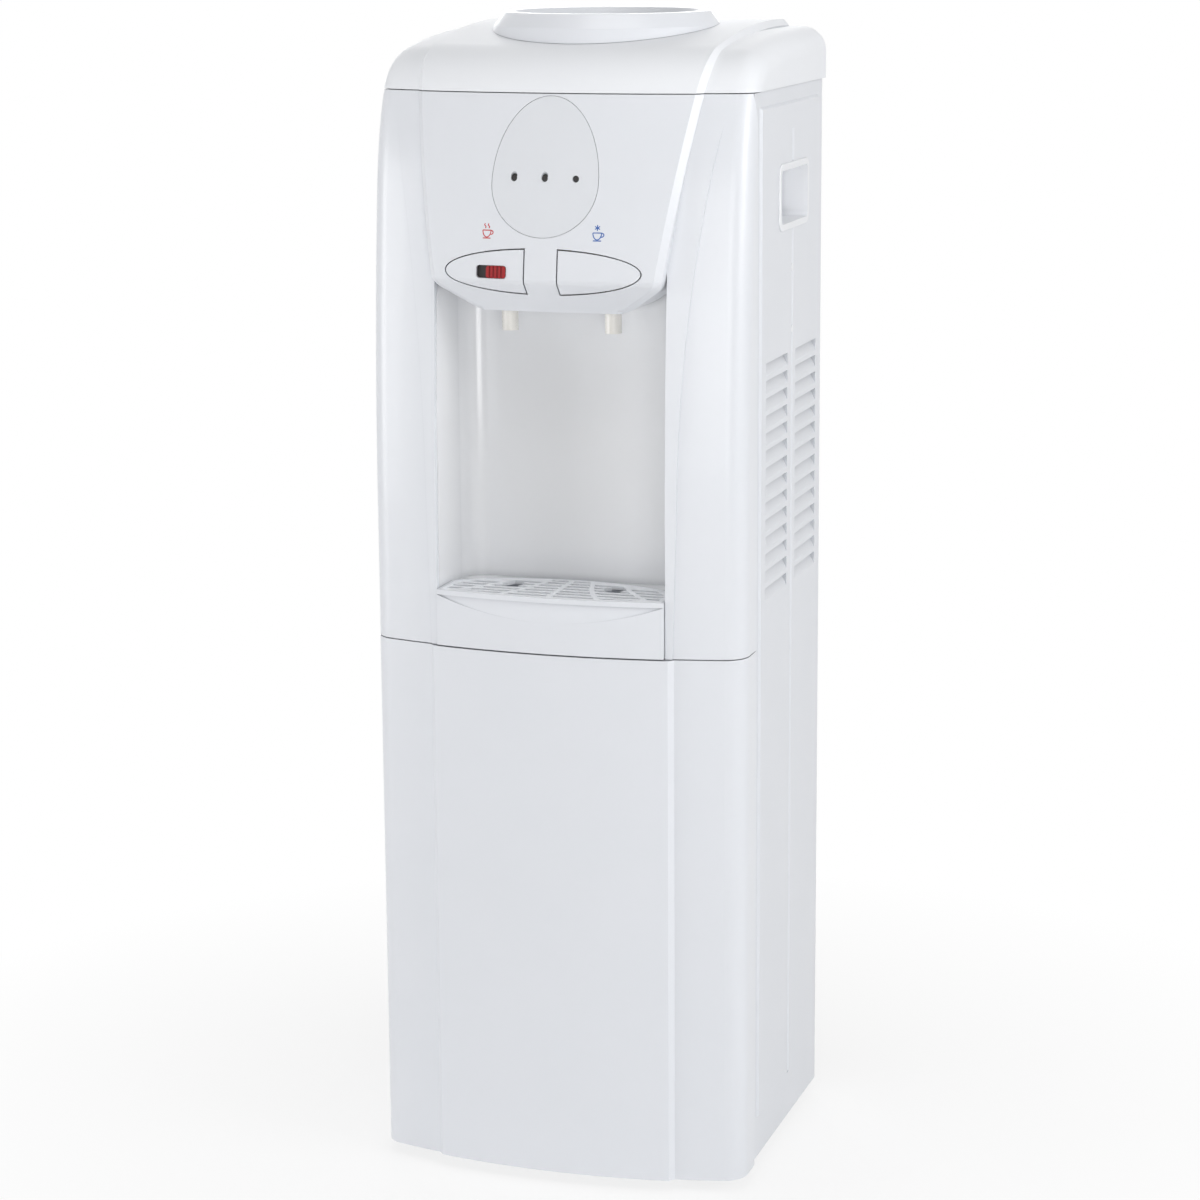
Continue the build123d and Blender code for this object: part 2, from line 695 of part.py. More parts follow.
with BuildPart() as lock_grooves:
    with BuildSketch(Plane.XZ):
        with Locations((KNOB_CENTRE, LOCK_Z)):
            with GridLocations(LOCK_KNOB[0] / 5, 0, 4, 1):
                Rectangle(LOCK_KNOB[0] / 12, LOCK_SLOT[1])
    extrude(amount=BODY_DEPTH, both=True)
    add(knob_groove, mode=Mode.SUBTRACT)

with BuildPart() as child_lock_slider:
    with BuildSketch(Plane.XZ):
        with Locations((KNOB_CENTRE, LOCK_Z)):
            RectangleRounded(*LOCK_KNOB, LOCK_SLOT[1] / 5)
    extrude(amount=BODY_DEPTH, both=True)
    add(knob_front, mode=Mode.INTERSECT)
    add(plate_back, mode=Mode.SUBTRACT)
    add(lock_grooves.part, mode=Mode.SUBTRACT)
    add(lock_plate.part)
save(child_lock_slider, "child_lock_slider")

# Indicator panel: egg-shaped insert with three scooped lamp holes and two posts for its board
lamp_places = [(x, LAMP_Z) for x in (-LAMP_PITCH, 0, LAMP_PITCH)]
with BuildPart() as indicator_panel:
    extrude(egg(0), amount=BODY_DEPTH, both=True)
    add(skin_outer, mode=Mode.INTERSECT)
    add(shield_body(EGG_THICK - WELD_GAP), mode=Mode.SUBTRACT)
    for x in (-POST_PLACE, POST_PLACE):
        add(fore_and_aft(POST_RADIUS, x, (shield_depth(LAMP_Z, x) + EGG_THICK / 2, BOARD_DEPTH), LAMP_Z))
    with BuildSketch(Plane.XZ):
        with Locations(*lamp_places):
            Circle(LAMP_RADIUS + WELD_GAP)
    extrude(amount=REACH, both=True, mode=Mode.SUBTRACT)
    for x, z in lamp_places:
        scoop = Plane((x, back(shield_depth(z, x) + EGG_THICK), z), x_dir=(1, 0, 0),
                      z_dir=(0, -cos(radians(SCOOP_TILT)), sin(radians(SCOOP_TILT))))
        with BuildSketch(scoop):
            Circle(LAMP_RADIUS + WELD_GAP)
        extrude(amount=4 * EGG_HALF, mode=Mode.SUBTRACT)
save(indicator_panel, "indicator_panel")

with BuildPart() as indicator_lenses:
    for x, z in lamp_places:
        add(fore_and_aft(LAMP_RADIUS, x, (shield_depth(z, x) + LAMP_SINK, BOARD_DEPTH), z))
save(indicator_lenses, "indicator_lenses")

with BuildPart() as indicator_board:
    add(block((-BOARD_SIZE[0] / 2, BOARD_SIZE[0] / 2), (BOARD_DEPTH, BOARD_DEPTH + BOARD_SIZE[1]),
              (LAMP_Z - BOARD_SIZE[2] / 2, LAMP_Z + BOARD_SIZE[2] / 2)))
    fillet(indicator_board.edges().filter_by(Axis.Y), BOARD_SIZE[1])
save(indicator_board, "indicator_board")

# Lower front panel: bowed sheet with a raised middle, side returns and a flange along its top
with BuildPart() as lower_front_panel:
    with BuildSketch() as plan:
        with Locations((0, BOW_CENTRE)):
            Circle(BOW_RADIUS - STRIP_SETBACK)
        with Locations((0, back(0))):
            Rectangle(WIDTH, 2 * (SIDE_FRONT + RETURN_FLANGE), mode=Mode.INTERSECT)
        fillet(plan.vertices().group_by(Axis.Y)[0], CORNER_RADIUS)
    with BuildSketch() as middle_plan:
        with Locations((0, BOW_CENTRE)):
            Circle(BOW_RADIUS + CENTRE_REACH)
        with Locations((0, back(0))):
            Rectangle(2 * CENTRE_HALF, 2 * SIDE_FRONT, mode=Mode.INTERSECT)
        chamfer(middle_plan.vertices().group_by(Axis.Y)[0], CENTRE_BEVEL)
    extrude(plan.sketch, amount=MID_SEAM - SEAM_GAP / 2)
    extrude(middle_plan.sketch, amount=MID_SEAM - SEAM_GAP / 2)
    with BuildSketch() as hollow:
        add(plan.sketch)
        add(middle_plan.sketch)
        offset(amount=-WALL, mode=Mode.REPLACE)
    extrude(hollow.sketch, amount=MID_SEAM - SEAM_GAP / 2 - WALL, mode=Mode.SUBTRACT)
    with BuildSketch() as top_gap:
        add(hollow.sketch)
        offset(amount=-RETURN_FLANGE, mode=Mode.REPLACE)
    extrude(top_gap.sketch, amount=MID_SEAM, mode=Mode.SUBTRACT)
    add(across((-REACH, SIDE_FRONT - SEAM_GAP), (FOOT_HEIGHT, MID_SEAM)), mode=Mode.INTERSECT)
save(lower_front_panel, "lower_front_panel")


# Drip tray, its grille and the liner of the bay that they sit in
tray_half = BAY_HALF - TRAY_CLEAR
tray_bow = BOW_RADIUS + CENTRE_REACH


def tray_plan(grow, z):
    """Plan of the tray at a height: bowed front, straight sides, arched back."""
    side_front = BOW_CENTRE - sqrt(tray_bow**2 - tray_half**2)
    side_back = back(TRAY_SIDE_DEPTH)
    with BuildSketch(Plane.XY.offset(z)) as plan:
        with BuildLine():
            ThreePointArc((-tray_half, side_front), (0, BOW_CENTRE - tray_bow), (tray_half, side_front))
            Line((tray_half, side_front), (tray_half, side_back))
            ThreePointArc((tray_half, side_back), (0, back(TRAY_BACK)), (-tray_half, side_back))
            Line((-tray_half, side_back), (-tray_half, side_front))
        make_face()
        if grow:
            offset(amount=grow, mode=Mode.REPLACE)
    return plan.sketch


lip_foot = TRAY_TOP - TRAY_LIP
with BuildPart() as tray_scoop:
    with BuildSketch(Plane.YZ):
        tray_front = BOW_CENTRE - tray_bow
        Polygon((tray_front, TRAY_TOP - SCOOP_DROP), (tray_front - SCOOP_DEPTH, lip_foot),
                (tray_front + SCOOP_DEPTH, lip_foot), align=None)
    revolve(axis=BOW_AXIS)
    with BuildSketch(Plane.XZ):
        with BuildLine():
            ThreePointArc((-tray_half, lip_foot), (0, TRAY_TOP - SCOOP_DROP), (tray_half, lip_foot))
            Line((tray_half, lip_foot), (-tray_half, lip_foot))
        make_face()
    extrude(amount=BODY_DEPTH, both=True, mode=Mode.INTERSECT)

with BuildPart() as drip_tray:
    extrude(tray_plan(0, MID_SEAM + SEAM_GAP), amount=TRAY_HEIGHT - SEAM_GAP)
    with BuildSketch(Plane.XY.offset(MID_SEAM)):
        with Locations((0, BOW_CENTRE)):
            Circle(tray_bow - WALL)
    extrude(amount=LINER_FLOOR - MID_SEAM, mode=Mode.SUBTRACT)
    extrude(tray_plan(-TRAY_WALL, TRAY_TOP - GRILLE_THICK), amount=TRAY_HEIGHT, mode=Mode.SUBTRACT)
    extrude(tray_plan(-2 * TRAY_WALL, LINER_FLOOR + TRAY_WALL), amount=TRAY_HEIGHT, mode=Mode.SUBTRACT)
    add(tray_scoop.part, mode=Mode.SUBTRACT)
save(drip_tray, "drip_tray")

# Grille: rows of slots crossed by a straight rib and ribs that fan out, with a drain hole under each tap
with BuildSketch(Plane.XY.offset(TRAY_TOP)) as grille_slots:
    with Locations((0, back(TRAY_BACK / 2))):
        with GridLocations(0, GRILLE_ROW, 1, int(TRAY_BACK / GRILLE_ROW) + 2):
            Rectangle(2 * BAY_HALF, GRILLE_SLOT)
        Rectangle(GRILLE_RIB, 2 * TRAY_BACK, mode=Mode.SUBTRACT)
    add(tray_plan(-GRILLE_BORDER, 0), mode=Mode.INTERSECT)
    with BuildLine():
        for side in (-1, 1):
            for rib in GRILLE_FAN:
                ThreePointArc(*[(side * x, back(depth)) for x, depth in rib])
    trace(line_width=GRILLE_RIB, mode=Mode.SUBTRACT)
    with Locations((-TAP_X, back(TAP_Y)), (TAP_X, back(TAP_Y))):
        Circle(DRAIN_HOLE)

with BuildPart() as drip_grille:
    extrude(tray_plan(-TRAY_WALL - FIT, TRAY_TOP - GRILLE_THICK), amount=GRILLE_THICK)
    long_slots = grille_slots.sketch.faces().filter_by(lambda slot: slot.area > GRILLE_SLOT * GRILLE_ROW)
    extrude(long_slots, amount=-GRILLE_THICK, mode=Mode.SUBTRACT)
save(drip_grille, "drip_grille")

ledge_foot = MID_SEAM + SEAM_GAP
with BuildPart() as bay_liner:
    extrude(bay_plan(LINER_WALL, ledge_foot), amount=LINER_TOP - ledge_foot)
    extrude(bay_plan(0, TRAY_TOP - GRILLE_THICK), amount=LINER_TOP, mode=Mode.SUBTRACT)
    extrude(tray_plan(TRAY_CLEAR, LINER_FLOOR), amount=LINER_TOP, mode=Mode.SUBTRACT)
    add(cabinet_lining, mode=Mode.INTERSECT)
    add(block((-BAY_HALF, BAY_HALF), (-REACH, TAP_Y / 2), (LINER_FLOOR, LINER_TOP)), mode=Mode.SUBTRACT)
    for x in (-TAP_X, TAP_X):
        add(fore_and_aft(HOSE_HOLE, x, (TAP_Y, BODY_DEPTH), VALVE_Z), mode=Mode.SUBTRACT)
save(bay_liner, "bay_liner")


# Taps, with the spring-loaded stems that the buttons push
def tap(side):
    """Tap with a nozzle under the cowl, a valve housing towards its button and a hose barb behind."""
    x = side * TAP_X
    with BuildPart() as piece:
        add(upright(TAP_BODY_RADIUS, (x, TAP_Y), (COWL_FLOOR + WALL, COWL_FLOOR + WALL + TAP_BODY_HEIGHT)))
        fillet(piece.edges().group_by(Axis.Z)[-1], TAP_BODY_RADIUS / 3)
        add(upright(NOZZLE_RADIUS, (x, TAP_Y), (COWL_FLOOR - NOZZLE_DROP, COWL_FLOOR + 2 * WALL)))
        add(fore_and_aft(VALVE_RADIUS, x, (VALVE_FRONT, VALVE_BACK), VALVE_Z))
        add(fore_and_aft(BARB_RADIUS, x, (VALVE_BACK, BARB_END), VALVE_Z))
        add(upright(NOZZLE_BORE, (x, TAP_Y), (COWL_FLOOR - NOZZLE_DROP, COWL_FLOOR)), mode=Mode.SUBTRACT)
        stem_bore = fore_and_aft(STEM_RADIUS + STEM_CLEAR, x, (VALVE_FRONT, STEM_BORE_END), VALVE_Z)
        add(stem_bore, mode=Mode.SUBTRACT)
    return piece


def valve_stem(side):
    """Headed stem that slides in the tap's valve housing."""
    with BuildPart() as piece:
        add(fore_and_aft(STEM_RADIUS, side * TAP_X, (STEM_FRONT, STEM_END), VALVE_Z))
        add(fore_and_aft(STEM_HEAD_RADIUS, side * TAP_X, (STEM_FRONT, STEM_FRONT + STEM_HEAD), VALVE_Z))
    return piece


def stem_spring(side):
    """Sleeve that holds the space of the spring between the stem's head and the housing."""
    room = (STEM_FRONT + STEM_HEAD, VALVE_FRONT)
    with BuildPart() as piece:
        add(fore_and_aft(STEM_RADIUS + FIT + SPRING_WIRE, side * TAP_X, room, VALVE_Z))
        add(fore_and_aft(STEM_RADIUS + FIT, side * TAP_X, room, VALVE_Z), mode=Mode.SUBTRACT)
    return piece


for name, side in (("hot", -1), ("cold", 1)):
    save(tap(side), f"{name}_tap")
    save(valve_stem(side), f"{name}_valve_stem")
    save(stem_spring(side), f"{name}_stem_spring")

# Base pan on four feet
with BuildPart() as base_pan:
    with BuildSketch(Plane.XY.offset(FOOT_HEIGHT)) as pan_plan:
        with Locations((0, BOW_CENTRE)):
            Circle(BOW_RADIUS - STRIP_SETBACK - WALL - FIT)
        with Locations((0, back(0))):
            Rectangle(2 * INNER_X, 2 * REAR_INNER, mode=Mode.INTERSECT)
        fillet(pan_plan.vertices().group_by(Axis.Y)[0], CORNER_RADIUS)
    extrude(amount=SHEET)
    for side in (-1, 1):
        edges = sorted((side * INNER_X, side * (INNER_X - SHEET)))
        add(block(edges, (SIDE_FRONT, REAR_INNER), (FOOT_HEIGHT, PAN_TOP + PAN_FLANGE)))
save(base_pan, "base_pan")

with BuildPart() as feet:
    for x in (-FOOT_X, FOOT_X):
        for depth in (FOOT_FRONT, FOOT_REAR):
            add(upright(FOOT_RADIUS, (x, depth), (0, FOOT_HEIGHT)))
    chamfer(feet.edges().group_by(Axis.Z)[0], FOOT_HEIGHT / 4)
save(feet, "feet")


# Side panels: sheet steel with flanges, a raised field, a bead and two columns of louvres
def louvre(depth, z):
    """Pressed louvre: a tongue leaning inward from its foot, with closed ends."""
    length = LOUVRE_LENGTH / 2
    top = z + LOUVRE_HEIGHT
    inner = FIELD_X - LOUVRE_DEPTH
    with BuildPart() as piece:
        with BuildSketch(Plane.XZ.offset(-back(depth))):
            Polygon((FIELD_X, z), (inner, top), (inner - SHEET, top), (FIELD_X - SHEET, z), align=None)
        extrude(amount=length, both=True)
        for end in (depth - length, depth + length - SHEET):
            with BuildSketch(Plane.XZ.offset(-back(end + SHEET))):
                Polygon((FIELD_X, z), (FIELD_X, top), (inner - SHEET, top), align=None)
            extrude(amount=SHEET)
    return piece.part


field_middle = (back((FIELD_FRONT + FIELD_REAR) / 2), (FIELD_FOOT + LID_SEAM - FIELD_HEAD) / 2)
field_size = (FIELD_REAR - FIELD_FRONT, LID_SEAM - FIELD_HEAD - FIELD_FOOT)
bend_shift = 2 * SHEET * (sqrt(2) - 1)
panel_top = LID_SEAM - SEAM_GAP / 2
bead_top = LID_SEAM - BEAD_HEAD
bead_inner = FIELD_X - SHEET
rows = [LOUVRE_FOOT + row * LOUVRE_PITCH for row in range(LOUVRE_COUNT)]
louvre_places = [(depth, z) for depth in LOUVRE_COLUMNS for z in rows]
screw_x = MARGIN_X - SCREW_INSET
screw_foot = REAR_FOOT + SCREW_MARGIN
screw_gap = (panel_top - SCREW_MARGIN - screw_foot) / (SCREW_ROWS - 1)
screw_rows = [screw_foot + row * screw_gap for row in range(SCREW_ROWS)]
louvres = [louvre(depth, z) for depth, z in louvre_places]
with BuildPart() as right_side_panel:
    add(block((INNER_X, MARGIN_X), (SIDE_FRONT, BODY_DEPTH), (FOOT_HEIGHT, panel_top)))
    with BuildSketch(Plane.YZ.offset(MARGIN_X)):
        with Locations(field_middle):
            Rectangle(*field_size)
    extrude(amount=FIELD_RAISE, taper=45)
    with BuildSketch(Plane.YZ.offset(INNER_X)):
        with Locations(field_middle):
            Rectangle(field_size[0] - bend_shift, field_size[1] - bend_shift)
    extrude(amount=FIELD_RAISE, taper=45, mode=Mode.SUBTRACT)
    with BuildSketch(Plane.XY.offset(FIELD_FOOT)):
        with Locations((bead_inner, back(BEAD_Y))):
            half = (BEAD_WIDTH + SHEET) / 2
            Polygon((0, -half), (0, half), (-BEAD_DEPTH, 0), align=None)
    extrude(amount=bead_top - FIELD_FOOT)
    with BuildSketch(Plane.XY.offset(FIELD_FOOT + BEAD_WIDTH)):
        with Locations((FIELD_X, back(BEAD_Y))):
            Polygon((0, -BEAD_WIDTH / 2), (0, BEAD_WIDTH / 2), (-BEAD_DEPTH, 0), align=None)
    extrude(amount=bead_top - FIELD_FOOT - 2 * BEAD_WIDTH, mode=Mode.SUBTRACT)
    with Locations(*[(FIELD_X, back(depth), z + LOUVRE_HEIGHT / 2) for depth, z in louvre_places]):
        Box(3 * SHEET, LOUVRE_LENGTH, LOUVRE_HEIGHT, mode=Mode.SUBTRACT)
    add(louvres)
    with BuildSketch(Plane.YZ.offset(FIELD_X)):
        with Locations((back(GRIP_Y), GRIP_Z)):
            RectangleRounded(*GRIP_HOLE, GRIP_ROUND)
        with Locations(*[(back(BEAD_Y), LID_SEAM - drop) for drop in PLUG_DROPS]):
            Circle(PLUG_RADIUS)
    extrude(amount=-LOUVRE_DEPTH, mode=Mode.SUBTRACT)
    flange = MARGIN_X - PANEL_FLANGE
    add(block((flange, MARGIN_X), (SIDE_FRONT, SIDE_FRONT + SHEET), (MID_SEAM, panel_top)))
    add(block((flange, MARGIN_X), (REAR_OUTER, BODY_DEPTH), (FOOT_HEIGHT, panel_top)))
    add(block((flange, MARGIN_X), (SIDE_FRONT, BODY_DEPTH), (panel_top - SHEET, panel_top)))
    with Locations(*[(screw_x, back(BODY_DEPTH), z) for z in screw_rows]):
        Cylinder(SCREW_SHANK + WELD_GAP, SCREW_LENGTH, rotation=(90, 0, 0), mode=Mode.SUBTRACT)
save(right_side_panel, "right_side_panel")

with BuildPart() as left_side_panel:
    mirror(right_side_panel.part, about=Plane.YZ)
save(left_side_panel, "left_side_panel")

# Carrying grips let into the side panels
with BuildPart() as right_handle_cup:
    with BuildSketch(Plane.YZ.offset(FIELD_X)):
        with Locations((back(GRIP_Y), GRIP_Z)):
            rim = 2 * GRIP_RIM
            RectangleRounded(GRIP_HOLE[0] + rim, GRIP_HOLE[1] + rim, GRIP_ROUND + GRIP_RIM)
    extrude(amount=RIM_THICK)
    chamfer(right_handle_cup.edges().group_by(Axis.X)[-1], RIM_THICK / 2)
    with BuildSketch(Plane.YZ.offset(FIELD_X)):
        with Locations((back(GRIP_Y), GRIP_Z)):
            RectangleRounded(GRIP_HOLE[0] - 2 * FIT, GRIP_HOLE[1] - 2 * FIT, GRIP_ROUND)
    extrude(amount=-GRIP_DEPTH)
    wall = 2 * (FIT + GRIP_WALL)
    with BuildSketch(Plane.YZ.offset(FIELD_X + RIM_THICK)):
        with Locations((back(GRIP_Y), GRIP_Z)):
            RectangleRounded(GRIP_HOLE[0] - wall, GRIP_HOLE[1] - wall, GRIP_ROUND - GRIP_WALL)
    extrude(amount=GRIP_WALL - GRIP_DEPTH - RIM_THICK, mode=Mode.SUBTRACT)
save(right_handle_cup, "right_handle_cup")

with BuildPart() as left_handle_cup:
    mirror(right_handle_cup.part, about=Plane.YZ)
save(left_handle_cup, "left_handle_cup")

# Plugs in the two holes below each grip
with BuildPart() as side_plugs:
    for drop in PLUG_DROPS:
        add(crossbar(PLUG_RADIUS, (FIELD_X - 2 * SHEET - BEAD_DEPTH, FIELD_X), BEAD_Y, LID_SEAM - drop))
    mirror(about=Plane.YZ)
save(side_plugs, "side_plugs")

# Lid, with a round seat for the collar and a skirt that locates it inside the upper front panel
lid_cell = across((-REACH, REACH), (LID_SEAM + SEAM_GAP / 2, LID_SEAM + REACH))
skirt_inside = cabinet_form(2 * WALL)
skirt_rear = SIDE_FRONT - 2 * WALL
skirt_top = LID_SEAM + 2 * WALL
with BuildPart() as lid_skirt:
    add(cabinet_lining)
    add(skirt_inside, mode=Mode.SUBTRACT)
    add(across((-REACH, skirt_rear), (LID_SEAM - 2 * WALL, skirt_top)), mode=Mode.INTERSECT)

with BuildPart() as skirt_root:
    add(cabinet_inner)
    add(skirt_inside, mode=Mode.SUBTRACT)
    add(across((-REACH, skirt_rear), (LID_SEAM + WALL / 2, skirt_top)), mode=Mode.INTERSECT)

with BuildPart() as seat_wall:
    add(upright(LID_HOLE + LINER_WALL, (0, COLLAR_Y), (SEAT_Z - WALL, LID_SEAM + REACH)))
    add(shield_outer, mode=Mode.INTERSECT)

with BuildPart() as top_cover:
    add(cabinet_outer)
    add(shield_outer)
    add(lid_cell, mode=Mode.INTERSECT)
    add(cabinet_inner, mode=Mode.SUBTRACT)
    add(shield_core, mode=Mode.SUBTRACT)
    add(skirt_root.part)
    add(lid_skirt.part)
    add(seat_wall.part)
    add(upright(LID_HOLE, (0, COLLAR_Y), (SEAT_Z, LID_SEAM + REACH)), mode=Mode.SUBTRACT)
    add(upright(SEAT_HOLE, (0, COLLAR_Y), (LID_SEAM, LID_SEAM + REACH)), mode=Mode.SUBTRACT)
save(top_cover, "top_cover")

# Bottle collar: flared skirt over the lid, rolled rim, funnel and a spigot into the tank
collar_axis = Axis((0, back(COLLAR_Y), 0), (0, 0, 1))
collar_plane = Plane.XZ.offset(-back(COLLAR_Y))
lid_surface = shield_body(-FIT)
rim_inner = COLLAR_RIM - COLLAR_WALL
flare = COLLAR_RIM + COLLAR_FLARE
spigot = COLLAR_FUNNEL + COLLAR_WALL - FIT
with BuildPart() as collar_skirt:
    with BuildSketch(collar_plane) as section:
        with BuildLine():
            Polyline(
                (rim_inner - COLLAR_WALL, RIM_Z),
                (COLLAR_RIM, RIM_Z),
                (COLLAR_RIM + COLLAR_FLARE / 2, RIM_Z - COLLAR_FLARE / 2 - COLLAR_WALL),
                (flare, SEAT_Z - 2 * COLLAR_WALL),
                (flare - COLLAR_WALL, SEAT_Z - 2 * COLLAR_WALL),
                (rim_inner + COLLAR_FLARE / 2, RIM_Z - COLLAR_FLARE / 2 - 2 * COLLAR_WALL),
                (rim_inner, RIM_Z - COLLAR_WALL),
                close=True,
            )
        make_face()
        fillet([v for v in section.vertices() if abs(v.X - COLLAR_RIM) < 0.1], COLLAR_WALL / 2)
    revolve(axis=collar_axis)
    add(lid_surface, mode=Mode.SUBTRACT)

with BuildPart() as bottle_collar:
    with BuildSketch(collar_plane):
        with BuildLine():
            Polyline(
                (COLLAR_FUNNEL, SEAT_Z - SPIGOT_DROP),
                (spigot, SEAT_Z - SPIGOT_DROP),
                (spigot, SEAT_Z),
                (TANK_RIM, SEAT_Z),
                (TANK_RIM, SEAT_Z + COLLAR_WALL),
                (spigot + COLLAR_WALL, SEAT_Z + COLLAR_WALL),
                (rim_inner, RIM_Z - COLLAR_WALL),
                (rim_inner - COLLAR_WALL, RIM_Z),
                (COLLAR_FUNNEL, SEAT_Z + COLLAR_WALL),
                close=True,
            )
        make_face()
    revolve(axis=collar_axis)
    add(collar_skirt.part)
save(bottle_collar, "bottle_collar")

# Shelf that carries the tanks, fixed to the raised fields of the side panels
shelf_half = FIELD_X - SHEET
line_holes = (COLD_RISER, FEED_PLACE, SUCTION_PLACE, CAPILLARY_PLACE, (DISCHARGE_X, DISCHARGE_Y))
with BuildPart() as tank_shelf:
    add(block((-shelf_half, shelf_half), (SHELF_FRONT, SHELF_REAR), (SHELF_Z - SHELF_THICK, SHELF_Z)))
    for edges in ((-shelf_half, SHELF_THICK - shelf_half), (shelf_half - SHELF_THICK, shelf_half)):
        add(block(edges, (SHELF_FRONT, SHELF_REAR), (SHELF_Z - SHELF_FLANGE, SHELF_Z)))
    with Locations((-shelf_half, back(BEAD_Y), SHELF_Z), (shelf_half, back(BEAD_Y), SHELF_Z)):
        Box(2 * (BEAD_DEPTH + SHEET), BEAD_WIDTH + 2 * SHEET, 4 * SHELF_FLANGE, mode=Mode.SUBTRACT)
    for place in line_holes:
        add(upright(HOSE_HOLE, place, (SHELF_Z - SHELF_FLANGE, SHELF_Z + SHELF_THICK)), mode=Mode.SUBTRACT)
save(tank_shelf, "tank_shelf")

# Cold tank in its foam, with the evaporator wound round it and a baffle inside
well = (0, COLLAR_Y)
coil_radius = TANK_RADIUS + FIT + COIL_TUBE
foam_inner = coil_radius + COIL_TUBE + FIT
rim_foot = TANK_TOP - TANK_WALL
with BuildPart() as cold_tank:
    add(upright(TANK_RADIUS, well, (TANK_FOOT, TANK_TOP)))
    add(upright(TANK_RIM, well, (rim_foot, TANK_TOP)))
    tank_inside = upright(TANK_RADIUS - TANK_WALL, well, (TANK_FOOT + TANK_WALL, TANK_TOP + TANK_WALL))
    add(tank_inside, mode=Mode.SUBTRACT)
    for place in (COLD_RISER, FEED_PLACE):
        add(upright(HOSE_RADIUS / 2, place, (SHELF_Z, TANK_FOOT + 2 * TANK_WALL)), mode=Mode.SUBTRACT)
save(cold_tank, "cold_tank")

with BuildPart() as tank_foam:
    add(upright(FOAM_RADIUS, well, (SHELF_Z, rim_foot)))
    add(upright(foam_inner, well, (TANK_FOOT, TANK_TOP)), mode=Mode.SUBTRACT)
    for place in (COLD_RISER, FEED_PLACE):
        add(upright(HOSE_HOLE, place, (0, TANK_TOP)), mode=Mode.SUBTRACT)
save(tank_foam, "tank_foam")

coil_middle = Vector(0, back(COLLAR_Y), TANK_FOOT + COIL_PITCH)
with BuildPart() as evaporator_coil:
    with BuildLine() as coil:
        for half_turn in range(2 * COIL_TURNS):
            way = 1 if half_turn % 2 == 0 else -1
            level = half_turn * COIL_PITCH / 2
            ThreePointArc(
                coil_middle + Vector(way * coil_radius, 0, level),
                coil_middle + Vector(0, way * coil_radius, level + COIL_PITCH / 4),
                coil_middle + Vector(-way * coil_radius, 0, level + COIL_PITCH / 2),
            )
    with BuildSketch(Plane(coil.line @ 0, z_dir=coil.line % 0)):
        Circle(COIL_TUBE)
    sweep(path=coil.wires()[0])
save(evaporator_coil, "evaporator_coil")

baffle_z = TANK_FOOT + TANK_WALL + BAFFLE_RISE
with BuildPart() as tank_baffle:
    add(upright(TANK_RADIUS - TANK_WALL - FIT, well, (baffle_z, baffle_z + BAFFLE_THICK)))
    add(upright(BAFFLE_TUBE, well, (TANK_FOOT + TANK_WALL, baffle_z)))
    with Locations((0, back(COLLAR_Y), baffle_z)):
        with PolarLocations(TANK_RADIUS / 2, 6):
            Cylinder(BAFFLE_TUBE / 2, 4 * BAFFLE_THICK, mode=Mode.SUBTRACT)
save(tank_baffle, "tank_baffle")

# Hot tank in its jacket, hung from the shelf by a strap
boiler = (0, HOT_TANK_Y)
with BuildPart() as hot_tank:
    add(upright(HOT_TANK_RADIUS, boiler, (HOT_FOOT, HOT_TOP)))
    fillet(hot_tank.edges().group_by(Axis.Z)[-1], JACKET_THICK / 2)
    boiler_room = (HOT_FOOT + HOT_TANK_WALL, HOT_TOP - JACKET_THICK / 2)
    add(upright(HOT_TANK_RADIUS - HOT_TANK_WALL, boiler, boiler_room), mode=Mode.SUBTRACT)
    for place in (FEED_PLACE, HOT_RISER):
        add(upright(HOSE_RADIUS / 2, place, (HOT_TOP - JACKET_THICK, HOT_TOP)), mode=Mode.SUBTRACT)
save(hot_tank, "hot_tank")

with BuildPart() as hot_tank_jacket:
    add(upright(JACKET_RADIUS, boiler, (JACKET_FOOT, HOT_TOP - 2 * JACKET_THICK)))
    add(upright(HOT_TANK_RADIUS, boiler, (HOT_FOOT, HOT_TOP)), mode=Mode.SUBTRACT)
    add(upright(DRAIN_RADIUS + FIT, (0, DRAIN_Y), (0, HOT_TOP)), mode=Mode.SUBTRACT)
save(hot_tank_jacket, "hot_tank_jacket")

strap_inner = JACKET_RADIUS + FIT
strap_outer = strap_inner + STRAP_THICK
strap_top = SHELF_Z - SHELF_THICK
strap_depth = (HOT_TANK_Y - STRAP_WIDTH / 2, HOT_TANK_Y + STRAP_WIDTH / 2)
with BuildPart() as hot_tank_strap:
    add(block((-strap_outer, strap_outer), strap_depth, (JACKET_FOOT - STRAP_THICK, strap_top)))
    add(block((-strap_inner, strap_inner), strap_depth, (JACKET_FOOT, strap_top)), mode=Mode.SUBTRACT)
    for x in ((-strap_outer - STRAP_FOOT, -strap_outer), (strap_outer, strap_outer + STRAP_FOOT)):
        add(block(x, strap_depth, (strap_top - STRAP_THICK, strap_top)))
save(hot_tank_strap, "hot_tank_strap")

# Water lines
hot_x, cold_x = -TAP_X, TAP_X
hose_turn = (BARB_END + COLD_RISER[1]) / 2
cold_route = [(cold_x, BARB_END, VALVE_Z), (cold_x, hose_turn, VALVE_Z), (*COLD_RISER, VALVE_Z),
              (*COLD_RISER, TANK_FOOT)]
hot_route = [(hot_x, BARB_END, VALVE_Z), (hot_x, hose_turn, VALVE_Z), (*HOT_RISER, VALVE_Z),
             (*HOT_RISER, HOT_TOP)]
drain_route = [(0, DRAIN_Y, HOT_FOOT), (0, DRAIN_Y, OUTLET_Z), (0, BODY_DEPTH + DRAIN_END, OUTLET_Z)]
with BuildPart() as cold_hose:
    add(tube(cold_route, HOSE_RADIUS, HOSE_BEND))
save(cold_hose, "cold_hose")

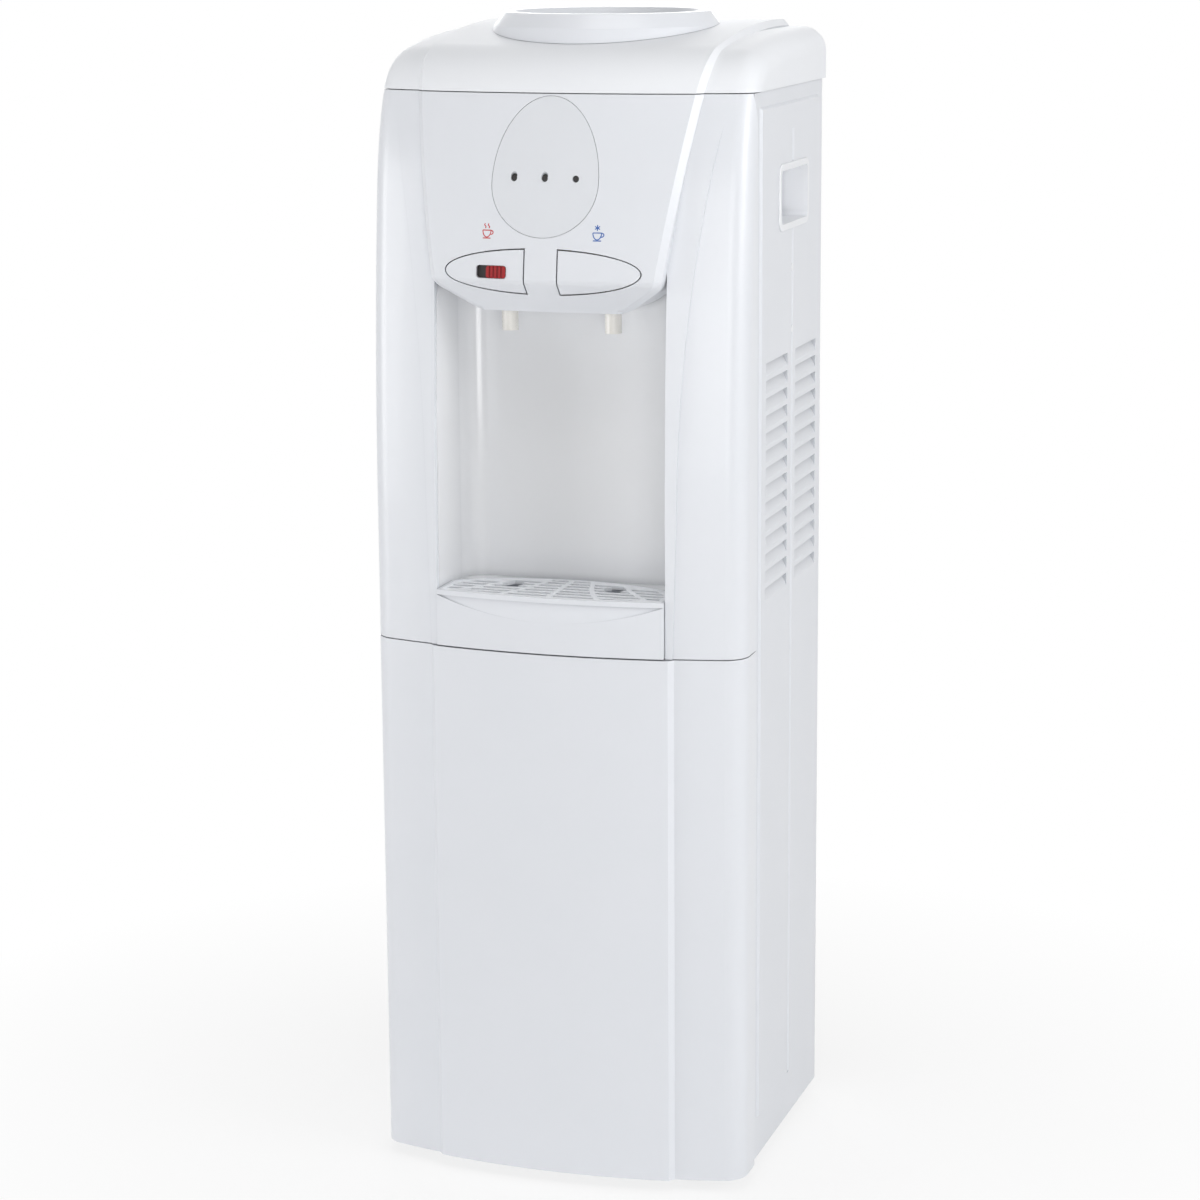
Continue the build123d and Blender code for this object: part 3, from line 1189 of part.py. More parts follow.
with BuildPart() as hot_hose:
    add(tube(hot_route, HOSE_RADIUS, HOSE_BEND))
save(hot_hose, "hot_hose")

with BuildPart() as feed_pipe:
    add(upright(HOSE_RADIUS, FEED_PLACE, (HOT_TOP, TANK_FOOT)))
save(feed_pipe, "feed_pipe")

with BuildPart() as drain_pipe:
    add(tube(drain_route, DRAIN_RADIUS, 2 * HOSE_BEND))
save(drain_pipe, "drain_pipe")

cap_start = BODY_DEPTH + DRAIN_END - CAP_BORE_DEPTH + FIT
with BuildPart() as drain_cap:
    add(fore_and_aft(CAP_RADIUS, 0, (cap_start, cap_start + CAP_LENGTH), OUTLET_Z))
    chamfer(drain_cap.edges().group_by(Axis.Y)[-1], CAP_RADIUS / 6)
    with Locations(Location((0, back(cap_start + CAP_LENGTH / 2), OUTLET_Z), (90, 0, 0))):
        with PolarLocations(CAP_RADIUS, 16):
            Cylinder(CAP_RADIUS / 12, CAP_LENGTH, mode=Mode.SUBTRACT)
    bore = (cap_start, cap_start + CAP_BORE_DEPTH)
    add(fore_and_aft(DRAIN_RADIUS + CAP_CLEAR, 0, bore, OUTLET_Z), mode=Mode.SUBTRACT)
save(drain_cap, "drain_cap")

# Compressor on rubber grommets, with its terminal cover
shell_place = (0, COMPRESSOR_Y)
shell_foot = PLATE_Z + COMPRESSOR_PLATE[2]
weld_foot = shell_foot + WELD_RISE
with BuildPart() as compressor_shell:
    add(upright(COMPRESSOR_RADIUS, shell_place, (shell_foot, shell_foot + COMPRESSOR_HEIGHT)))
    fillet(compressor_shell.edges().group_by(Axis.Z)[-1], DOME_HEAD)
    fillet(compressor_shell.edges().group_by(Axis.Z)[0], DOME_FOOT)
    add(upright(COMPRESSOR_RADIUS + WELD_SIZE[0], shell_place, (weld_foot, weld_foot + WELD_SIZE[1])))

with BuildPart() as compressor:
    add(compressor_shell.part)
    add(crossbar(STUB_RADIUS, (-STUB_REACH, STUB_REACH), COMPRESSOR_Y, STUB_Z))
    with BuildSketch(Plane.XY.offset(PLATE_Z)):
        with Locations((0, back(COMPRESSOR_Y))):
            RectangleRounded(COMPRESSOR_PLATE[0], COMPRESSOR_PLATE[1], GROMMET_RADIUS)
            with GridLocations(*GROMMET_PLACES, 2, 2):
                Circle(GROMMET_NECK + WELD_GAP, mode=Mode.SUBTRACT)
    extrude(amount=COMPRESSOR_PLATE[2])
    add(upright(MOTOR_SPACE[0], shell_place, (shell_foot + MOTOR_SPACE[1], shell_foot + MOTOR_SPACE[2])),
        mode=Mode.SUBTRACT)
    add(upright(MOTOR_NECK, shell_place, (0, shell_foot + MOTOR_SPACE[2])), mode=Mode.SUBTRACT)
save(compressor, "compressor")

with BuildPart() as compressor_grommets:
    for x in (-GROMMET_PLACES[0] / 2, GROMMET_PLACES[0] / 2):
        for step in (-GROMMET_PLACES[1] / 2, GROMMET_PLACES[1] / 2):
            grommet_place = (x, COMPRESSOR_Y + step)
            add(upright(GROMMET_RADIUS, grommet_place, (PAN_TOP, PLATE_Z)))
            add(upright(GROMMET_NECK, grommet_place, (PLATE_Z, shell_foot)))
            add(upright(GROMMET_HEAD, grommet_place, (shell_foot, shell_foot + GROMMET_NECK / 2)))
save(compressor_grommets, "compressor_grommets")

terminal_front = COMPRESSOR_Y - COMPRESSOR_RADIUS - TERMINAL[0]
terminal_foot = shell_foot + TERMINAL_RISE
with BuildPart() as terminal_cover:
    add(block((-TERMINAL[1] / 2, TERMINAL[1] / 2), (terminal_front, COMPRESSOR_Y - COMPRESSOR_RADIUS / 2),
              (terminal_foot, terminal_foot + TERMINAL[2])))
    fillet(terminal_cover.edges().filter_by(Axis.Z).group_by(Axis.Y)[0], TERMINAL[0] / 3)
    shell_clear = upright(COMPRESSOR_RADIUS + WELD_GAP, shell_place, (0, LID_SEAM))
    add(shell_clear, mode=Mode.SUBTRACT)
save(terminal_cover, "terminal_cover")

# Condenser: a serpentine tube with wires welded across both faces, on four clips
u_bend = CONDENSER_PITCH / 2
run_half = CONDENSER_HALF - u_bend
rear_y = back(CONDENSER_Y)
tail_y = back(CONDENSER_TAIL)
with BuildPart() as condenser_tube:
    with BuildLine() as serpentine:
        FilletPolyline((CONDENSER_HALF, tail_y, CONDENSER_FOOT), (CONDENSER_HALF, rear_y, CONDENSER_FOOT),
                       (-run_half, rear_y, CONDENSER_FOOT), radius=CONDENSER_BEND)
        for row in range(1, CONDENSER_RUNS):
            side = -1 if row % 2 else 1
            level = CONDENSER_FOOT + row * CONDENSER_PITCH
            run_start = (side * run_half, rear_y, level)
            ThreePointArc((side * run_half, rear_y, level - CONDENSER_PITCH),
                          (side * CONDENSER_HALF, rear_y, level - u_bend), run_start)
            if row < CONDENSER_RUNS - 1:
                Line(run_start, (-side * run_half, rear_y, level))
        FilletPolyline(run_start, (CONDENSER_HALF, rear_y, CONDENSER_HEAD),
                       (CONDENSER_HALF, tail_y, CONDENSER_HEAD), radius=CONDENSER_BEND)
    with BuildSketch(Plane(serpentine.line @ 0, z_dir=serpentine.line % 0)):
        Circle(CONDENSER_TUBE)
    sweep(path=serpentine.wires()[0])
save(condenser_tube, "condenser_tube")

wire_offset = CONDENSER_TUBE + WELD_GAP + WIRE / 2
wire_length = CONDENSER_HEAD - CONDENSER_FOOT + 2 * WIRE_OVER
with BuildPart() as condenser_wires:
    with Locations((0, rear_y, (CONDENSER_FOOT + CONDENSER_HEAD) / 2)):
        with GridLocations(WIRE_PITCH, 2 * wire_offset, WIRE_COUNT, 2):
            Box(WIRE, WIRE, wire_length)
save(condenser_wires, "condenser_wires")

with BuildPart() as condenser_clips:
    for row in CLIP_ROWS:
        level = CONDENSER_FOOT + row * CONDENSER_PITCH
        for x in (-CLIP_X, CLIP_X):
            add(block((x - CLIP_SIZE[0] / 2, x + CLIP_SIZE[0] / 2), (REAR_OUTER, CONDENSER_Y),
                      (level - CLIP_SIZE[1] / 2, level + CLIP_SIZE[1] / 2)))
        add(crossbar(CONDENSER_TUBE + WELD_GAP, (-WIDTH, WIDTH), CONDENSER_Y, level), mode=Mode.SUBTRACT)
save(condenser_clips, "condenser_clips")

# Refrigerant lines
line_z = SHELF_Z - LINE_DROP
drier_front = CONDENSER_TAIL - DRIER_LENGTH
suction_route = [(-STUB_REACH, COMPRESSOR_Y, STUB_Z), (SUCTION_X, COMPRESSOR_Y, STUB_Z),
                 (SUCTION_X, COMPRESSOR_Y, line_z), (*SUCTION_PLACE, line_z), (*SUCTION_PLACE, SHELF_Z)]
discharge_route = [(STUB_REACH, COMPRESSOR_Y, STUB_Z), (DISCHARGE_X, COMPRESSOR_Y, STUB_Z),
                   (DISCHARGE_X, DISCHARGE_Y, STUB_Z), (DISCHARGE_X, DISCHARGE_Y, CONDENSER_HEAD),
                   (CONDENSER_HALF, DISCHARGE_Y, CONDENSER_HEAD),
                   (CONDENSER_HALF, CONDENSER_TAIL, CONDENSER_HEAD)]
capillary_route = [(CONDENSER_HALF, drier_front, CONDENSER_FOOT),
                   (CONDENSER_HALF, CAPILLARY_PLACE[1], CONDENSER_FOOT),
                   (CONDENSER_HALF, CAPILLARY_PLACE[1], line_z), (*CAPILLARY_PLACE, line_z),
                   (*CAPILLARY_PLACE, SHELF_Z)]
with BuildPart() as suction_line:
    add(tube(suction_route, LINE_RADIUS, LINE_BEND))
save(suction_line, "suction_line")

with BuildPart() as discharge_line:
    add(tube(discharge_route, LINE_RADIUS, 2 * LINE_RADIUS))
save(discharge_line, "discharge_line")

with BuildPart() as filter_drier:
    add(fore_and_aft(DRIER_RADIUS, CONDENSER_HALF, (drier_front, CONDENSER_TAIL), CONDENSER_FOOT))
    chamfer(filter_drier.edges(), DRIER_RADIUS / 2)
save(filter_drier, "filter_drier")

with BuildPart() as capillary_tube:
    add(tube(capillary_route, CAPILLARY_RADIUS, LINE_BEND))
save(capillary_tube, "capillary_tube")

# Rear panel, open below for the compressor, with its screws
with BuildPart() as rear_panel:
    add(block((-INNER_X, INNER_X), (REAR_INNER, REAR_OUTER), (REAR_FOOT, panel_top - SHEET)))
    with BuildSketch(Plane.XZ.offset(-back(REAR_INNER))):
        with Locations((SWITCH_X, SWITCH_Z)):
            Rectangle(HOUSING[0] + 2 * FIT, HOUSING[1] + 2 * FIT)
        with Locations((0, OUTLET_Z)):
            Circle(DRAIN_RADIUS + FIT)
        with Locations((GLAND_X, OUTLET_Z)):
            Circle(GLAND_RADIUS + WELD_GAP)
        with Locations((CONDENSER_HALF, CONDENSER_FOOT), (CONDENSER_HALF, CONDENSER_HEAD)):
            Circle(CONDENSER_TUBE + FIT)
        with Locations(*[(side * screw_x, z) for side in (-1, 1) for z in screw_rows]):
            Circle(SCREW_SHANK + WELD_GAP)
    extrude(amount=2 * SHEET, both=True, mode=Mode.SUBTRACT)
save(rear_panel, "rear_panel")

with BuildPart() as rear_screws:
    for z in screw_rows:
        add(fore_and_aft(SCREW_HEAD, screw_x, (BODY_DEPTH, BODY_DEPTH + SCREW_HEAD_HEIGHT), z))
        add(fore_and_aft(SCREW_SHANK, screw_x, (BODY_DEPTH - SCREW_LENGTH, BODY_DEPTH), z))
    mirror(about=Plane.YZ)
save(rear_screws, "rear_screws")

# Housing with the heating and cooling switches
plate_outer = REAR_OUTER + SWITCH_PLATE[2]
rocker_places = (SWITCH_X - SWITCH_PITCH / 2, SWITCH_X + SWITCH_PITCH / 2)
housing_x = (SWITCH_X - HOUSING[0] / 2, SWITCH_X + HOUSING[0] / 2)
housing_z = (SWITCH_Z - HOUSING[1] / 2, SWITCH_Z + HOUSING[1] / 2)
hole_depth = (HOUSING_FRONT + SWITCH_PLATE[2], 2 * BODY_DEPTH)
hole_z = (SWITCH_Z - SWITCH_HOLE[1] / 2, SWITCH_Z + SWITCH_HOLE[1] / 2)
pin_reach = SWITCH_HOLE[0] / 2 + 2 * ROCKER_PIN
with BuildPart() as switch_plate:
    add(block((SWITCH_X - SWITCH_PLATE[0] / 2, SWITCH_X + SWITCH_PLATE[0] / 2), (REAR_OUTER, plate_outer),
              (SWITCH_Z - SWITCH_PLATE[1] / 2, SWITCH_Z + SWITCH_PLATE[1] / 2)))
    fillet(switch_plate.edges().filter_by(Axis.Y), SWITCH_PLATE[2])
    add(block(housing_x, (HOUSING_FRONT, REAR_OUTER), housing_z))
    for x in rocker_places:
        hole_x = (x - SWITCH_HOLE[0] / 2, x + SWITCH_HOLE[0] / 2)
        add(block(hole_x, hole_depth, hole_z), mode=Mode.SUBTRACT)
        pin_x = (x - pin_reach, x + pin_reach)
        add(crossbar(ROCKER_PIN + ROD_CLEAR, pin_x, ROCKER_AXIS, SWITCH_Z), mode=Mode.SUBTRACT)
save(switch_plate, "switch_plate")


def rocker(x):
    """Rocker with a shallow V face, standing with its lower end pressed in."""
    lean = radians(ROCKER_TILT)
    middle = ROCKER_FACE / cos(lean)
    rise = (ROCKER_FACE + ROCKER_RADIUS * sin(lean)) / cos(lean)
    end = ROCKER_RADIUS
    with BuildPart() as piece:
        with BuildSketch(Plane.YZ.offset(x)):
            with Locations((back(ROCKER_AXIS), SWITCH_Z)):
                Circle(ROCKER_RADIUS)
                Polygon((middle, 0), (rise, end), (2 * end, end), (2 * end, -end), (rise, -end),
                        rotation=ROCKER_TILT, align=None, mode=Mode.SUBTRACT)
        extrude(amount=SWITCH_HOLE[0] / 2 - FIT, both=True)
        pin_half = SWITCH_HOLE[0] / 2 + ROCKER_PIN
        add(crossbar(ROCKER_PIN, (x - pin_half, x + pin_half), ROCKER_AXIS, SWITCH_Z))
    return piece


save(rocker(rocker_places[0]), "heating_switch")
save(rocker(rocker_places[1]), "cooling_switch")

# Bush for the mains lead
with BuildPart() as cord_gland:
    add(fore_and_aft(GLAND_FLANGE, GLAND_X, (REAR_OUTER, REAR_OUTER + GLAND_THICK), OUTLET_Z))
    add(fore_and_aft(GLAND_RADIUS, GLAND_X, (REAR_OUTER - GLAND_LENGTH, REAR_OUTER), OUTLET_Z))
    add(fore_and_aft(GLAND_BORE, GLAND_X, (0, BODY_DEPTH + GLAND_LENGTH), OUTLET_Z), mode=Mode.SUBTRACT)
save(cord_gland, "cord_gland")
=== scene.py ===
# %% [markdown]
# A free-standing hot and cold water dispenser, seen a little from its right and from above.
# The solids come from CAD and stay where they are. This file gives every piece its finish, adds the
# small printed and fastened things that a CAD solid leaves out, and sets up light and camera.

# %% Load the frame
import json
import math

import bmesh
import bpy
import numpy as np
from mathutils import Matrix, Vector


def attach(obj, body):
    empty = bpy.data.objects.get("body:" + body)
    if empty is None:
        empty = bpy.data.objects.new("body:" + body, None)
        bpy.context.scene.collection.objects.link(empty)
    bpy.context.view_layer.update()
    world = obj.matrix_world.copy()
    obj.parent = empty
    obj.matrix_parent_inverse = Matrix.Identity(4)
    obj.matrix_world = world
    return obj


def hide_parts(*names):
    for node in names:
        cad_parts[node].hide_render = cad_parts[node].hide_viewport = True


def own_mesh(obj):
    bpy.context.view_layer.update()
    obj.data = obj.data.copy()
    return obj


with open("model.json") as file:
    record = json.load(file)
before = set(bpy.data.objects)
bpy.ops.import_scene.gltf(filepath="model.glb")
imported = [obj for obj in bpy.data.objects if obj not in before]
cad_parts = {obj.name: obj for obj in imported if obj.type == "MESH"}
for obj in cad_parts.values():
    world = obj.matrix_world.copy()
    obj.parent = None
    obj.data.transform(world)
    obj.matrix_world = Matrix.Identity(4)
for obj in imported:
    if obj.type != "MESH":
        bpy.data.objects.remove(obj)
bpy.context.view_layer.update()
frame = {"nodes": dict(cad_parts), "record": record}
nodes = frame["nodes"]

# %% [markdown]
# The camera stands to the right of the machine and looks slightly down. Its place, its three turns and
# its focal length were solved from the picture's vanishing lines. A camera looks along its own -Z, so
# its matrix is built from the right, up and backward directions.

# %% Camera
MM = 0.001
CAMERA_PLACE = np.array([815.0, -2511.5, 1031.0]) * MM
YAW = math.radians(18.04)
PITCH = math.radians(12.27)
ROLL = math.radians(-0.39)
FOCAL_LENGTH = 97.68
SENSOR_WIDTH = 36.0
FAR_CLIP = 50.0

ahead = np.array([-math.sin(YAW) * math.cos(PITCH), math.cos(YAW) * math.cos(PITCH), -math.sin(PITCH)])
level = np.array([math.cos(YAW), math.sin(YAW), 0.0])
upward = np.cross(level, ahead)
right = level * math.cos(ROLL) + upward * math.sin(ROLL)
above = -level * math.sin(ROLL) + upward * math.cos(ROLL)
camera_matrix = np.eye(4)
camera_matrix[:3, 0] = right
camera_matrix[:3, 1] = above
camera_matrix[:3, 2] = -ahead
camera_matrix[:3, 3] = CAMERA_PLACE

camera_data = bpy.data.cameras.new("studio_camera")
camera_data.lens = FOCAL_LENGTH
camera_data.sensor_width = SENSOR_WIDTH
camera_data.clip_end = FAR_CLIP
camera = bpy.data.objects.new("studio_camera", camera_data)
camera.matrix_world = Matrix(camera_matrix.tolist())
bpy.context.scene.collection.objects.link(camera)
bpy.context.scene.camera = camera
print("camera at", np.round(CAMERA_PLACE, 3))

# %% [markdown]
# Every material below is a Principled shader with a pattern or two on Object coordinates, which are the
# model's own metres. One function adds a node, sets it up and links it, so that a material reads as a
# short list. The others turn the hex colour that one would pick on screen into the linear numbers that
# the renderer works in, turn a real size into a texture scale, and start a material with nothing but its
# coordinates. The Mix node gives its sockets for numbers and for colours the same names, so the colour
# ones go by number here.

# %% Helpers for materials
NOISE = "ShaderNodeTexNoise"
CELLS = "ShaderNodeTexVoronoi"
SHARE = 0
FIRST = 6
SECOND = 7
BLEND = 2


def linear(hex_colour):
    """Linear colour of an sRGB hex value: each channel divided by 12.92 or raised to the power 2.4."""
    part = np.array([int(hex_colour[i:i + 2], 16) for i in (1, 3, 5)]) / 255
    low = part / 12.92
    high = ((part + 0.055) / 1.055) ** 2.4
    return (*np.where(part <= 0.04045, low, high).tolist(), 1.0)


def per_metre(size_mm):
    """Texture scale whose features are about this many millimetres wide: one over the size in metres."""
    return 1000.0 / size_mm


def add_node(tree, kind, inputs=None, **settings):
    """Add a node, set its properties, and give each socket, by name or number, a value or a link."""
    made = tree.nodes.new(kind)
    for name, value in settings.items():
        setattr(made, name, value)
    for socket, value in (inputs or {}).items():
        if isinstance(value, bpy.types.NodeSocket):
            tree.links.new(value, made.inputs[socket])
        else:
            made.inputs[socket].default_value = value
    return made


def bare_material(name):
    """New material with an empty node tree, the tree, and the socket of its Object coordinates."""
    material = bpy.data.materials.new(name)
    material.use_nodes = True
    tree = material.node_tree
    tree.nodes.clear()
    return material, tree, add_node(tree, "ShaderNodeTexCoord").outputs["Object"]


print("mid grey is", round(linear("#808080")[0], 3), "in linear light")

# %% [markdown]
# Most of the outside is injection-moulded ABS. Its skin copies a polished mould, so it is glossy, but
# the plastic shrinks as it cools and leaves a very shallow waviness that makes reflections wander. A
# finer noise breaks up the gloss, as handling does. Real grain is far finer than a pixel, so it is drawn
# about a millimetre wide to show at all. An Ambient Occlusion node, which measures how closed in a point
# is, darkens the colour in corners and joints, and this darkening is painted shade. The same recipe with
# other numbers serves satin and textured mouldings, and the powder-coated sheet steel, whose orange peel
# is finer and rougher.

# %% One recipe for moulded and coated skins
PATCH_SIZE = 70
SHADE_REACH = 9.0
SHADE_SAMPLES = 8
CLOSED_IN = 0.25
WIDE_OPEN = 0.85
UNSHADED_LEAST = 0.45
GRAIN_LOW = 0.3
GRAIN_HIGH = 0.7
GLOSS_SPREAD = 0.06
PLASTIC_IOR = 1.53
COAT_ROUGHNESS = 0.06
# Colours towards which corners and joints are darkened: painted shade.
PALE_SHADE = "#9A9DA3"
DARK_SHADE = "#57585A"


def moulded(name, colour, shade, roughness, wave_mm, wave_depth_mm, grain_mm, grain_depth_mm, coat=0.0,
            dust=PALE_SHADE):
    """Two close colours in soft patches, painted shade in corners, a shallow wave and a fine grain as bump.
    """
    material, tree, place = bare_material(name)
    patches = add_node(tree, NOISE, {"Vector": place, "Scale": per_metre(PATCH_SIZE), "Detail": 3.0})
    tint = add_node(tree, "ShaderNodeMix", {
        SHARE: patches.outputs["Fac"], FIRST: linear(colour), SECOND: linear(shade)}, data_type="RGBA")
    # Ambient occlusion darkens the colour in corners and joints towards a shade colour: painted shade.
    openness = add_node(tree, "ShaderNodeAmbientOcclusion", {"Distance": SHADE_REACH * MM},
                        samples=SHADE_SAMPLES)
    unshaded = add_node(tree, "ShaderNodeMapRange", {
        "Value": openness.outputs["AO"], "From Min": CLOSED_IN, "From Max": WIDE_OPEN,
        "To Min": UNSHADED_LEAST, "To Max": 1.0})
    shaded_tint = add_node(tree, "ShaderNodeMix", {
        SHARE: unshaded.outputs["Result"], FIRST: linear(dust), SECOND: tint.outputs[BLEND]},
        data_type="RGBA")
    wave = add_node(tree, NOISE, {"Vector": place, "Scale": per_metre(wave_mm), "Detail": 1.0})
    grain = add_node(tree, NOISE, {"Vector": place, "Scale": per_metre(grain_mm), "Detail": 2.0})
    gloss = add_node(tree, "ShaderNodeMapRange", {
        "Value": grain.outputs["Fac"], "From Min": GRAIN_LOW, "From Max": GRAIN_HIGH,
        "To Min": roughness * (1 - GLOSS_SPREAD), "To Max": roughness * (1 + GLOSS_SPREAD)})
    swell = add_node(tree, "ShaderNodeBump", {
        "Height": wave.outputs["Fac"], "Strength": 1.0, "Distance": wave_depth_mm * MM})
    skin = add_node(tree, "ShaderNodeBump", {
        "Height": grain.outputs["Fac"], "Strength": 1.0, "Distance": grain_depth_mm * MM,
        "Normal": swell.outputs["Normal"]})
    shader = add_node(tree, "ShaderNodeBsdfPrincipled", {
        "Base Color": shaded_tint.outputs[BLEND], "Roughness": gloss.outputs["Result"],
        "Normal": skin.outputs["Normal"], "IOR": PLASTIC_IOR, "Coat Weight": coat,
        "Coat Roughness": COAT_ROUGHNESS})
    add_node(tree, "ShaderNodeOutputMaterial", {"Surface": shader.outputs["BSDF"]})
    return material


print("dust reaches", SHADE_REACH, "mm out of a corner")

# %% [markdown]
# Each finish below takes two close colours, a roughness, then the size and depth of its wave and of its
# grain in millimetres. The comment above it says what the real surface gives the eye.

# %% Moulded and coated finishes
finishes = {
    # Shell from a polished mould: glossy, with reflections that wander a little.
    "abs_white": moulded("gloss_white_abs", "#E7E9EE", "#E4E7EC", 0.32, 26, 0.012, 1.2, 0.0006, coat=0.10),
    # Insert round the lamps: satin, so its sheen alone sets it apart from the shell.
    "indicator_white": moulded("satin_white_abs", "#E4E6EA", "#E0E3E8", 0.34, 20, 0.006, 0.8, 0.001),
    # Liner of the bay: the smoothest moulding, which mirrors the tray.
    "bay_white": moulded("gloss_bay_abs", "#F0F1F3", "#EDEEF0", 0.12, 30, 0.016, 1.2, 0.0006, coat=0.4),
    # Nozzles: waxy and slightly warm.
    "tap_cream": moulded("cream_acetal", "#F0EEE9", "#ECE9E2", 0.28, 8, 0.006, 0.7, 0.001),
    # Side sheets: the fine orange peel of baked powder.
    "sheet_white": moulded("powder_coated_steel", "#E3E5EA", "#DFE2E7", 0.36, 3.0, 0.006, 0.9, 0.002),
    # Grips and plugs: a matt texture that hides scratches, in a white lighter than the shell's: painted
    # light against the shade of the grip pockets.
    "grip_white": moulded("textured_white_abs_painted_light", "#F0F1F4", "#ECEEF1", 0.46, 2.0, 0.006, 0.8, 0.004),
    # Catch of the child lock and the heating rocker: strong red, with painted shade nearly black in its
    # joints.
    "lock_red": moulded("red_abs", "#A3161B", "#971217", 0.30, 6, 0.006, 0.7, 0.002, dust="#2A0D0E"),
    # Cooling rocker: strong green.
    "switch_green": moulded("green_abs", "#1F7A3C", "#1B6E35", 0.32, 6, 0.006, 0.7, 0.004, dust="#12401F"),
    # Lamps that are off: dark and glassy.
    "lamp_dark": moulded("smoked_epoxy", "#2A2423", "#231E1D", 0.12, 4, 0.004, 0.6, 0.001,
                         dust=DARK_SHADE),
    # Baffle in the cold tank: milky and dull.
    "baffle_plastic": moulded("food_grade_polypropylene", "#DDE0E3", "#D6DADE", 0.42, 12, 0.010, 0.8,
                              0.006),
    # Hoses: cloudy, with a soft sheen.
    "hose_silicone": moulded("silicone_rubber", "#D9DBDA", "#D0D3D2", 0.46, 6, 0.006, 0.8, 0.006),
    # Drain cap: greasy white.
    "cap_plastic": moulded("white_polyethylene", "#DADBDB", "#D2D4D4", 0.50, 5, 0.008, 0.8, 0.010),
    # Feet, grommets and gland: dull black, with dark painted shade in their corners.
    "black_rubber": moulded("black_nitrile_rubber", "#1B1B1C", "#242425", 0.72, 4, 0.010, 0.7, 0.020,
                            dust=DARK_SHADE),
    # Compressor and condenser: baked enamel with runs and a hard gloss.
    "black_enamel": moulded("black_stove_enamel", "#17181A", "#1E1F21", 0.30, 5, 0.020, 1.0, 0.006,
                            coat=0.4, dust=DARK_SHADE),
    # Switch plate, clips and terminal cover: half matt.
    "black_plastic": moulded("black_nylon", "#1D1D1E", "#262627", 0.50, 3, 0.010, 0.8, 0.012,
                             dust=DARK_SHADE),
    # Foam round the tanks: a rough, yellowed skin.
    "foam": moulded("polyurethane_foam", "#DCD3B4", "#CFC4A0", 0.85, 6, 0.20, 1.5, 0.15),
    # Board behind the lamps: a glossy green film.
    "board_green": moulded("solder_mask_board", "#124D2C", "#0E3F24", 0.25, 3, 0.010, 0.8, 0.004,
                           dust="#3A4A40"),
}
print("moulded and coated finishes:", len(finishes))

# %% [markdown]
# The catch of the child lock is red, and the end that its slot shows while the lock is on is painted
# nearly black: painted shade standing in for the dark, empty end of the slot. A step on the X of the
# Object coordinates parts the two colours, and because these belong to the piece, the line slides with
# it. The rocker of the same red lies far to the right of the step and stays red.

# %% Catch with a painted shaded end
LOCK_SPLIT = -44.7
LOCK_SLOT_SHADE = "#1E1718"


def paint_slot_shade(material, split_mm, left_colour):
    """Give what lies left of a plane across X another colour, here painted shade, just ahead of the shader.
    """
    tree = material.node_tree
    shader = next(node for node in tree.nodes if node.type == "BSDF_PRINCIPLED")
    right_colour = shader.inputs["Base Color"].links[0].from_socket
    place = add_node(tree, "ShaderNodeTexCoord").outputs["Object"]
    axes = add_node(tree, "ShaderNodeSeparateXYZ", {"Vector": place})
    side = add_node(tree, "ShaderNodeMath", {0: axes.outputs["X"], 1: split_mm * MM},
                    operation="GREATER_THAN")
    colour = add_node(tree, "ShaderNodeMix", {
        SHARE: side.outputs[0], FIRST: linear(left_colour), SECOND: right_colour}, data_type="RGBA")
    tree.links.new(colour.outputs[BLEND], shader.inputs["Base Color"])


# The catch's left end goes nearly black: painted shade for the empty end of its slot.
paint_slot_shade(finishes["lock_red"], LOCK_SPLIT, LOCK_SLOT_SHADE)
print("catch parted at X", LOCK_SPLIT)

# %% [markdown]
# The bare metals are hidden inside or face the wall. Galvanised sheet shows zinc crystals, flat patches
# about a centimetre wide that each reflect a little differently, so a Voronoi pattern steps its
# roughness and colour. Stainless sheet is brushed one way, which a noise stretched along one axis gives.
# Copper tube darkens unevenly as it oxidises.

# %% Bare metals
METAL_RELIEF = 0.004
RELIEF_STRENGTH = 0.4


def metal(name, colour, shade, roughness, spread, pattern, size_mm, stretch):
    """Metal whose colour and roughness follow a cell or noise pattern, stretched along Z."""
    material, tree, place = bare_material(name)
    drawn = add_node(tree, "ShaderNodeMapping", {"Vector": place, "Scale": (1.0, 1.0, 1.0 / stretch)})
    marks = add_node(tree, pattern, {"Vector": drawn.outputs["Vector"], "Scale": per_metre(size_mm)})
    amount = add_node(tree, "ShaderNodeRGBToBW", {"Color": marks.outputs["Color"]}).outputs["Val"]
    tint = add_node(tree, "ShaderNodeMix", {
        SHARE: amount, FIRST: linear(colour), SECOND: linear(shade)}, data_type="RGBA")
    gloss = add_node(tree, "ShaderNodeMapRange", {
        "Value": amount, "To Min": roughness - spread, "To Max": roughness + spread})
    relief = add_node(tree, "ShaderNodeBump", {
        "Height": amount, "Strength": RELIEF_STRENGTH, "Distance": METAL_RELIEF * MM})
    shader = add_node(tree, "ShaderNodeBsdfPrincipled", {
        "Base Color": tint.outputs[BLEND], "Roughness": gloss.outputs["Result"], "Metallic": 1.0,
        "Normal": relief.outputs["Normal"]})
    add_node(tree, "ShaderNodeOutputMaterial", {"Surface": shader.outputs["BSDF"]})
    return material


metals = {
    "galvanised": metal("galvanised_steel", "#B9BEC2", "#9EA4A9", 0.42, 0.10, CELLS, 9, 1),
    "stainless": metal("brushed_stainless_steel", "#C9C8C4", "#B4B3AF", 0.28, 0.08, NOISE, 0.8, 40),
    "copper": metal("oxidised_copper", "#C98A62", "#9C5F40", 0.30, 0.10, NOISE, 14, 1),
}
finishes.update(metals)
print("metals ready:", [finish.name for finish in metals.values()])
